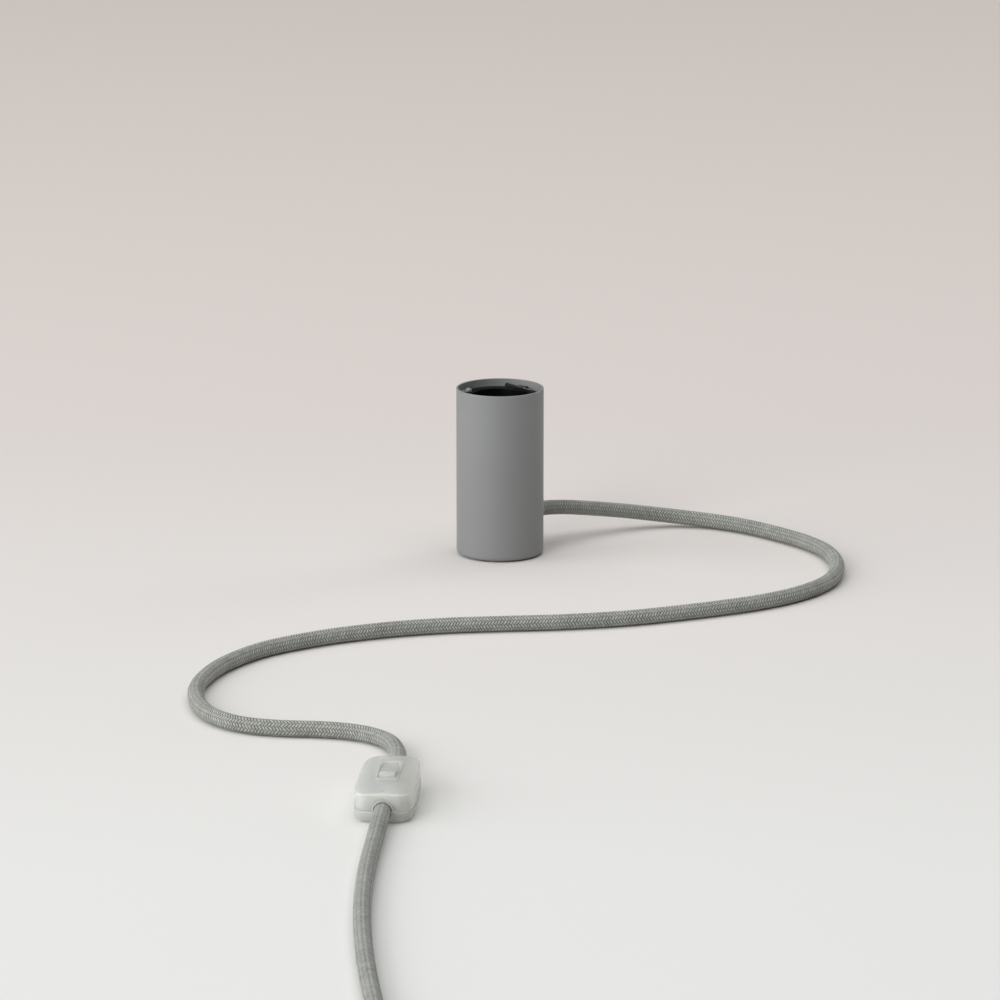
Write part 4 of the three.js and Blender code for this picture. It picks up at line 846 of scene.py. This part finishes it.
class LAMPCORD_OT_switch_case(bpy.types.Operator):
    """The two frosted half shells of the switch, with a collar round the cord at each end."""

    bl_idname = "lampcord.switch_case"
    bl_label = "Switch case"

    def execute(self, context):
        sizes = context.scene.lamp_cord_sizes
        wide, long, top = sizes.switch_width / 2, sizes.switch_length / 2, sizes.switch_height
        wall, parting, gap, bevel = 0.0016, 0.0054, 0.00015, 0.00025
        power, pinch, taper, count = 5.5, 0.02, 0.05, 176
        turns = even_turns(wide, long, power, count)

        def case(inset):
            # The case seen from above, drawn in by inset: a superellipse, a little narrower at its ends
            return oval(turns, wide - inset, long - inset, power, pinch, taper)

        def crown(line):
            # Height of the crowned top: it falls with the square of the distance from the middle, both ways
            return top - 0.0012 * (line[:, 0] / wide) ** 2 - 0.0011 * (line[:, 1] / long) ** 2

        # Lower shell: outside from the middle of the bottom up to the parting, then inside back to the middle
        foot, ledge, corner = 0.0026, 0.0036, np.radians(np.linspace(0, 90, 9))
        rows = [level(case(0) * 0, 0.0)]
        rows += [level(case(foot) * share, 0.0) for share in (0.5, 0.97)]
        rows += [level(case(foot * (1 - math.sin(a))), foot * (1 - math.cos(a))) for a in corner]
        rows += [level(case(0), height) for height in np.linspace(0.0033, parting - gap - bevel, 4)]
        rows += [level(case(bevel), parting - gap), level(case(wall - bevel / 2), parting - gap)]
        rows += [level(case(wall), parting - gap - bevel / 2), level(case(wall), ledge)]
        rows += [
            level(case(wall + 0.002 * math.sin(a)), ledge - 0.002 * (1 - math.cos(a))) for a in corner[2::2]
        ]
        rows += [level(case(foot + wall) * share, wall) for share in (0.9, 0.4)]
        rows += [level(case(0) * 0, wall)]
        lower = mesh_of("lower", in_switch(np.array(rows)))

        # Upper shell: from the parting up over the crowned top, into the button's well, and back inside
        edge, draft, seam = 0.0006, 0.0002, parting + gap + bevel
        rim = crown(case(edge))
        rows = [level(case(bevel), parting + gap), level(case(0), seam)]
        rows += [level(case(draft * t), seam * (1 - t) + (rim - edge) * t) for t in (0.3, 0.6, 0.95)]
        for a in np.radians(np.linspace(10, 90, 8)):
            line = case(draft + (edge - draft) * (1 - math.cos(a)))
            rows.append(level(line, rim - edge * (1 - math.sin(a))))
        well, surround, rise, rounding = (0.0041, 0.0126), 0.0012, top + 0.0006, 0.0003
        inner = oval(turns, *well, 8.0) + np.array([0, PIVOT[1]])
        outer = oval(turns, well[0] + surround, well[1] + surround, 7.0) + np.array([0, PIVOT[1]])
        middle = (outer + inner) / 2
        for t in (0.15, 0.35, 0.6, 0.85, 1.0):
            line = case(edge) * (1 - t) + outer * t
            rows.append(level(line, crown(line)))
        rows += [level(outer * 0.98 + middle * 0.02, rise - rounding)]
        rows += [level(side * 0.6 + middle * 0.4, rise) for side in (outer, inner)]
        rows += [level(inner, rise - rounding), level(inner, top - wall)]
        ceiling = case(wall + 0.0015)
        rows += [level(inner * (1 - t) + ceiling * t, top - wall - 0.0006 * t) for t in (0.4, 0.8, 1.0)]
        rows += [level(case(wall + 0.0004), top - wall - 0.0014), level(case(wall), top - wall - 0.003)]
        rows += [level(case(wall), seam), level(case(wall - bevel), parting + gap)]
        upper = mesh_of("upper", in_switch(np.array(rows)), ring=True)

        # Round way for the cord through both ends, a dimple on top, and the collars that frame the way
        lift, hole = np.array([0, 0, parting]), 0.004
        way = mesh_of("way", in_switch(about_z(along_x(bar(hole, -0.033, 0.033, 64)), math.pi / 2) + lift))
        dimple = turned([(0, 0.0121), (0.0008, 0.0121), (0.0015, 0.0145), (0, 0.0145)], 32)
        dimple = mesh_of("dimple", in_switch(dimple + np.array([0, -0.026, 0])))
        lower, upper = carve(lower, [way]), carve(upper, [way, dimple])
        flange, back, front = 0.0048, (long - 0.0018, 0.0002), (long + 0.0005, 0.0003)
        outline = [(hole, *back), (flange, *back), (flange, *front), (hole, *front)]
        collar = along_x(turned(eased(outline, 6, closed=True), 72))
        collars = [
            mesh_of("collar", in_switch(about_z(collar, turn) + lift), ring=True)
            for turn in (math.pi / 2, -math.pi / 2)
        ]
        show("switch_case_lower", lower, "frosted_plastic", ["switch_lower_shell"])
        upper = [upper, *collars]
        show("switch_case_upper", upper, "frosted_plastic", ["switch_upper_shell"])
        return {"FINISHED"}


class LAMPCORD_OT_switch_button(bpy.types.Operator):
    """The rocker button, hollow on top with a rounded nose, resting with its plug end up on its own body."""

    bl_idname = "lampcord.switch_button"
    bl_label = "Switch button"

    def execute(self, context):
        half_width, half_length, power, edge = 0.0036, 0.0114, 10.0, 0.0009
        turns = even_turns(half_width, half_length, power, 120)

        def plan(inset):
            # The button seen from above, drawn in by inset: nearly a rectangle
            return oval(turns, half_width - inset, half_length - inset, power)

        def top(line):
            # Hollow along its length, rising to a hump near the plug end and falling off over its nose
            along = line[:, 1] / half_length
            hump = 0.0009 * np.clip(-along, 0, 1) - 0.0013 * gentle((-along - 0.66) / 0.34)
            return middle + 0.0005 * along**2 + hump

        underside, skirt, middle = 0.0008, 0.0016, 0.0033
        rim = top(plan(edge))
        rows = [level(plan(0) * 0, underside), level(plan(0.0006) * 0.6, underside + 0.0001)]
        rows += [level(plan(0.0003), underside + 0.0004), level(plan(0), skirt)]
        rows += [level(plan(0), skirt * (1 - t) + (rim - edge) * t) for t in (0.3, 0.6, 0.95)]
        for a in np.radians(np.linspace(12, 90, 7)):
            rows.append(level(plan(edge * (1 - math.cos(a))), rim - edge * (1 - math.sin(a))))
        rows += [level(plan(edge) * t, top(plan(edge) * t)) for t in np.linspace(0.95, 0.1, 18)]
        rows += [level(plan(0) * 0, middle)]
        # Turned about x by the tilt, then moved to the pivot
        c, s = math.cos(BUTTON_TILT), math.sin(BUTTON_TILT)
        grid = in_switch(np.array(rows) @ np.array([[1, 0, 0], [0, c, s], [0, -s, c]]) + PIVOT)
        button = mesh_of("rocker_button", grid, crease=60)
        show("rocker_button", button, "frosted_plastic", ["switch_button"], BUTTON_BODY)
        return {"FINISHED"}


class LAMPCORD_OT_plug(bpy.types.Operator):
    """Flat two-pin plug: moulded body, ribbed strain relief, pins and their insulating sleeves."""

    bl_idname = "lampcord.plug"
    bl_label = "Plug"

    def execute(self, context):
        sizes = context.scene.lamp_cord_sizes
        end, half_width, half_thick = sizes.plug_length, sizes.plug_width / 2, sizes.plug_thickness / 2
        neck, neck_edge, face_edge, slack, tight = 0.0068, 0.0009, 0.0012, 2.3, 5.5
        # Sections across x: superellipses that widen from the neck to the face while their corners tighten
        turns = 2 * np.pi * np.arange(96) / 96
        x = np.concatenate([np.linspace(neck_edge, 0.028, 22), [0.032, end - face_edge]])
        swell = gentle((x - 0.004) / 0.022)
        arc = np.radians(np.linspace(15, 90, 6))
        inset = np.concatenate([[neck_edge] * 2, 0 * x, face_edge * (1 - np.cos(arc)), [0]])
        width = np.concatenate([[0, neck], neck + (half_width - neck) * swell, [half_width] * len(arc), [0]])
        thick = np.concatenate([[0], [half_thick] * (1 + len(x) + len(arc)), [0]])
        power = np.concatenate([[slack] * 2, slack + (tight - slack) * swell, [tight] * (len(arc) + 1)])
        x = np.concatenate([[0, 0], x, end - face_edge * (1 - np.sin(arc)), [end]])[:, None]
        width, thick = (np.maximum(size - inset, 1e-9)[:, None] for size in (width, thick))
        reach = superellipse(turns, width, thick, power[:, None])
        grid = np.stack(np.broadcast_arrays(x, reach * np.cos(turns), reach * np.sin(turns)), -1)
        body = mesh_of("plug_moulding", grid + PLUG_MIDDLE, crease=60)

        # Pins that lean towards each other, each seated in the face and in its own sleeve
        spacing, tip_spacing, pin, core, sleeve_end = 0.0186, 0.0175, 0.002, 0.0013, 0.01
        lean = math.atan((spacing - tip_spacing) / 2 / sizes.pin_length)
        neck_end = sleeve_end + 0.0003
        contact = eased(
            [
                (0, -0.006, 0), (core, -0.006, 0.0001), (core, neck_end, 0.0001),
                (pin, neck_end, 0.0001), (pin, sizes.pin_length, 0.0016), (0, sizes.pin_length, 0),
            ],
            8,
        )
        hole, skin, start = 0.0016, 0.0019, -0.0007
        corners = [(hole, start), (skin, start), (skin, sleeve_end), (hole, sleeve_end)]
        cover = eased([(r, height, 0.0001) for r, height in corners], 4, closed=True)

        def at_pin(name, grid, side, ring=False):
            # A grid turned about z, laid down along a pin's axis
            laid = about_z(along_x(grid), -side * lean) + PLUG_MIDDLE
            return mesh_of(name, laid + np.array([end, side * spacing / 2, 0]), ring=ring)

        seats = [at_pin("seat", bar(0.0023, -0.001, 0.003), side) for side in (1, -1)]
        show("plug_moulding", carve(body, seats), "frosted_plastic", ["plug_body"])
        for number, side in ((1, 1), (2, -1)):
            name = f"contact_pin_{number}"
            mesh = at_pin(name, turned(contact, 48), side)
            show(name, mesh, "nickel_plate", [f"plug_pin_{number}"])
            name = f"pin_insulation_{number}"
            mesh = at_pin(name, turned(cover, 48), side, ring=True)
            show(name, mesh, "black_phenolic", [f"plug_pin_sleeve_{number}"])

        # Strain relief: a sleeve whose ribs grow in steps towards the plug, with a groove after each
        bore, thin, thickest, groove, ribs, back = 0.004, 0.0047, 0.00615, 0.0007, 4, -0.028
        pitch = 0.025 / ribs
        outline = [(bore, back, 0.0002), (thin, back, 0.0003)]
        for i in range(ribs):
            radius = thin + (thickest - thin) * (i + 1) / ribs
            begin = back + pitch * i + 0.0015
            outline += [(radius, begin, 0.0002), (radius, begin + pitch * 0.6, 0.0003)]
            outline += [(radius - groove, begin + pitch * share, 0.0001) for share in (0.65, 0.95)]
        outline += [(thickest, -0.001, 0.0001), (thickest, 0.0006, 0.0001), (bore, 0.0006, 0.0002)]
        grid = along_x(turned(eased(outline, 4, closed=True), 72)) + PLUG_MIDDLE
        relief = mesh_of("ribbed_strain_relief", grid, ring=True, crease=40)
        show("ribbed_strain_relief", relief, "frosted_plastic", ["plug_strain_relief"])
        return {"FINISHED"}


class LAMPCORD_OT_tie(bpy.types.Operator):
    """Strap round the coil's turns, with its end lapped over itself."""

    bl_idname = "lampcord.tie"
    bl_label = "Coil tie"

    def execute(self, context):
        sizes = context.scene.lamp_cord_sizes
        radius, slack, thick, half = sizes.cord_diameter / 2, 0.0004, 0.0008, 0.006
        low, high = slack, COIL_BASE + sizes.cord_diameter + radius + slack
        near, far = sizes.coil_radius - radius - slack, sizes.coil_radius + radius + slack
        corners = [(-half, 0, 0.0002), (half, 0, 0.0002), (half, thick, 0.0003), (-half, thick, 0.0003)]
        section = eased(corners, 4, closed=True)
        tight, wide = 0.0018, 0.0034
        loop = [(near, low, tight), (far, low, tight), (far, high, wide), (near, high, wide)]
        loop = eased(loop, 9, closed=True)
        loop[:, 1] = np.maximum(loop[:, 1], low + thick)
        top = high + thick
        lap = eased([(near + 0.004, top, 0), (far, top, 0.004), (far + thick, high - 0.007, 0)], 9)[::-1]
        place = np.array([0, COIL_MIDDLE[1], 0])
        band = mesh_of("coil_strap", strip(loop, section, closed=True) + place, ring=True)
        flap = mesh_of("lap", capped(strip(lap, section) + place))
        show("coil_strap", [band, flap], "nylon_strap", ["cord_tie"])
        return {"FINISHED"}


# Finishes of the pieces that keep the drawing's own shapes, with their nodes
INSIDE = {
    "cast_iron": ["ballast_weight"],
    "zinc_plate": [
        "base_screw_1", "base_screw_2", "holder_bracket", "bracket_screw", "holder_screw_1", "holder_screw_2",
        "cord_grip_screw_1", "cord_grip_screw_2", "switch_case_screw_1", "switch_case_screw_2",
        "button_pivot_pin", "switch_terminal_screw_lamp", "switch_terminal_screw_plug",
    ],
    "black_phenolic": ["holder_base", "cord_grip_saddle", "cord_grip_bar"],
    "bronze_strip": [
        "centre_contact", "side_contact", "terminal_live", "terminal_neutral", "terminal_screw_live",
        "terminal_screw_neutral", "switch_terminal_lamp", "switch_terminal_plug", "switch_contact_spring",
        "switch_contact_fixed",
    ],
    "frosted_plastic": ["switch_cord_grip_lamp", "switch_cord_grip_plug"],
    "brown_pvc": ["wire_live", "switch_wire_live_lamp", "switch_wire_live_plug"],
    "blue_pvc": ["wire_neutral", "switch_wire_neutral"],
}


class LAMPCORD_OT_inside(bpy.types.Operator):
    """Finishes of the pieces inside the holder and the switch, which keep the drawing's own shapes."""

    bl_idname = "lampcord.inside"
    bl_label = "Inner pieces"

    def execute(self, context):
        for name, nodes in INSIDE.items():
            for node in nodes:
                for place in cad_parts[node].material_slots:
                    place.material = finish(name)
        return {"FINISHED"}


class LAMPCORD_OT_declare_cords(bpy.types.Operator):
    bl_idname = "lampcord.declare_cords"
    bl_label = "Declare cords"

    def execute(self, context):
        return {"FINISHED"}


class LAMPCORD_OT_stage(bpy.types.Operator):
    """Plain pale floor, a very broad lamp overhead, soft lamps at the left and a weak one at the right."""

    bl_idname = "lampcord.stage"
    bl_label = "Stage"

    def execute(self, context):
        material, tree, shader = started("studio_floor")
        # Painted studio floor, matt; its colour darkens gently towards the back, a painted shade for the
        # light's falloff
        place = add(tree, "ShaderNodeTexCoord").outputs["Object"]
        depth = add(tree, "ShaderNodeSeparateXYZ", Vector=place).outputs[1]
        away = add(tree, "ShaderNodeMapRange", Value=depth, From_Min=FLOOR_NEAR, From_Max=FLOOR_FAR)
        ramp = add(tree, "ShaderNodeValToRGB", Fac=away.outputs[0])
        stops = ramp.color_ramp.elements
        stops[0].color = opaque(context.scene.lamp_cord_colours.floor)
        stops[1].color = opaque(linear(FLOOR_BACK_SHADE))
        middle = (FLOOR_MIDDLE - FLOOR_NEAR) / (FLOOR_FAR - FLOOR_NEAR)
        stops.new(middle).color = opaque(linear(FLOOR_WARM_GREY_SHADE))
        tree.links.new(ramp.outputs[0], shader.inputs["Base Color"])
        shader.inputs["Roughness"].default_value = 0.9
        shader.inputs["Specular IOR Level"].default_value = 0.1
        mesh = bpy.data.meshes.new("floor")
        corners = [(x * FLOOR_REACH, y * FLOOR_REACH, 0) for x, y in ((-1, -1), (1, -1), (1, 1), (-1, 1))]
        mesh.from_pydata(corners, [], [(0, 1, 2, 3)])
        mesh.materials.append(material)
        linked("floor", mesh)

        for name, spot, target, size, power in LAMPS:
            lamp = bpy.data.lights.new(name, "AREA")
            lamp.shape, lamp.size, lamp.energy = "SQUARE", size, power
            holder = linked(name, lamp)
            holder.location = spot
            x, y, z = np.array(target) - np.array(spot)
            holder.rotation_euler = (math.atan2(math.hypot(x, y), -z), 0, math.atan2(y, x) - math.pi / 2)

        # The world lights very little, and the camera sees it as a pale backdrop
        world = bpy.data.worlds.new("studio")
        world.use_nodes = True
        context.scene.world = world
        sky = world.node_tree
        seen = add(sky, "ShaderNodeLightPath").outputs["Is Camera Ray"]
        dim, pale = (0.03, 0.03, 0.03, 1), opaque(linear("#cfc8c2"))
        mixed = add(sky, "ShaderNodeMix", {"data_type": "RGBA"}, in_0=seen, in_6=dim, in_7=pale)
        sky.links.new(mixed.outputs[2], sky.nodes["Background"].inputs["Color"])
        context.scene.view_settings.view_transform = "Standard"
        return {"FINISHED"}


class LAMPCORD_PT_panel(bpy.types.Panel):
    """Sizes, colours and one button for each group of pieces."""

    bl_label = "Lamp cord"
    bl_idname = "LAMPCORD_PT_panel"
    bl_space_type = "VIEW_3D"
    bl_region_type = "UI"
    bl_category = "Lamp cord"

    def draw(self, context):
        for group in (context.scene.lamp_cord_sizes, context.scene.lamp_cord_colours):
            column = self.layout.column()
            for name in group.__annotations__:
                column.prop(group, name)
        for operator in OPERATORS:
            self.layout.operator(operator.bl_idname)


OPERATORS = (
    LAMPCORD_OT_camera,
    LAMPCORD_OT_cords,
    LAMPCORD_OT_housing,
    LAMPCORD_OT_bulb_holder,
    LAMPCORD_OT_clips,
    LAMPCORD_OT_exit_bushing,
    LAMPCORD_OT_switch_case,
    LAMPCORD_OT_switch_button,
    LAMPCORD_OT_plug,
    LAMPCORD_OT_tie,
    LAMPCORD_OT_inside,
    LAMPCORD_OT_declare_cords,
    LAMPCORD_OT_stage,
)
CLASSES = (LampCordSizes, LampCordColours, *OPERATORS, LAMPCORD_PT_panel)


def register():
    for cls in CLASSES:
        bpy.utils.register_class(cls)
    bpy.types.Scene.lamp_cord_sizes = PointerProperty(type=LampCordSizes)
    bpy.types.Scene.lamp_cord_colours = PointerProperty(type=LampCordColours)


def unregister():
    del bpy.types.Scene.lamp_cord_sizes
    del bpy.types.Scene.lamp_cord_colours
    for cls in reversed(CLASSES):
        bpy.utils.unregister_class(cls)


def main():
    register()
    for operator in OPERATORS:
        group, name = operator.bl_idname.split(".")
        getattr(getattr(bpy.ops, group), name)()


if __name__ == "__main__":
    main()
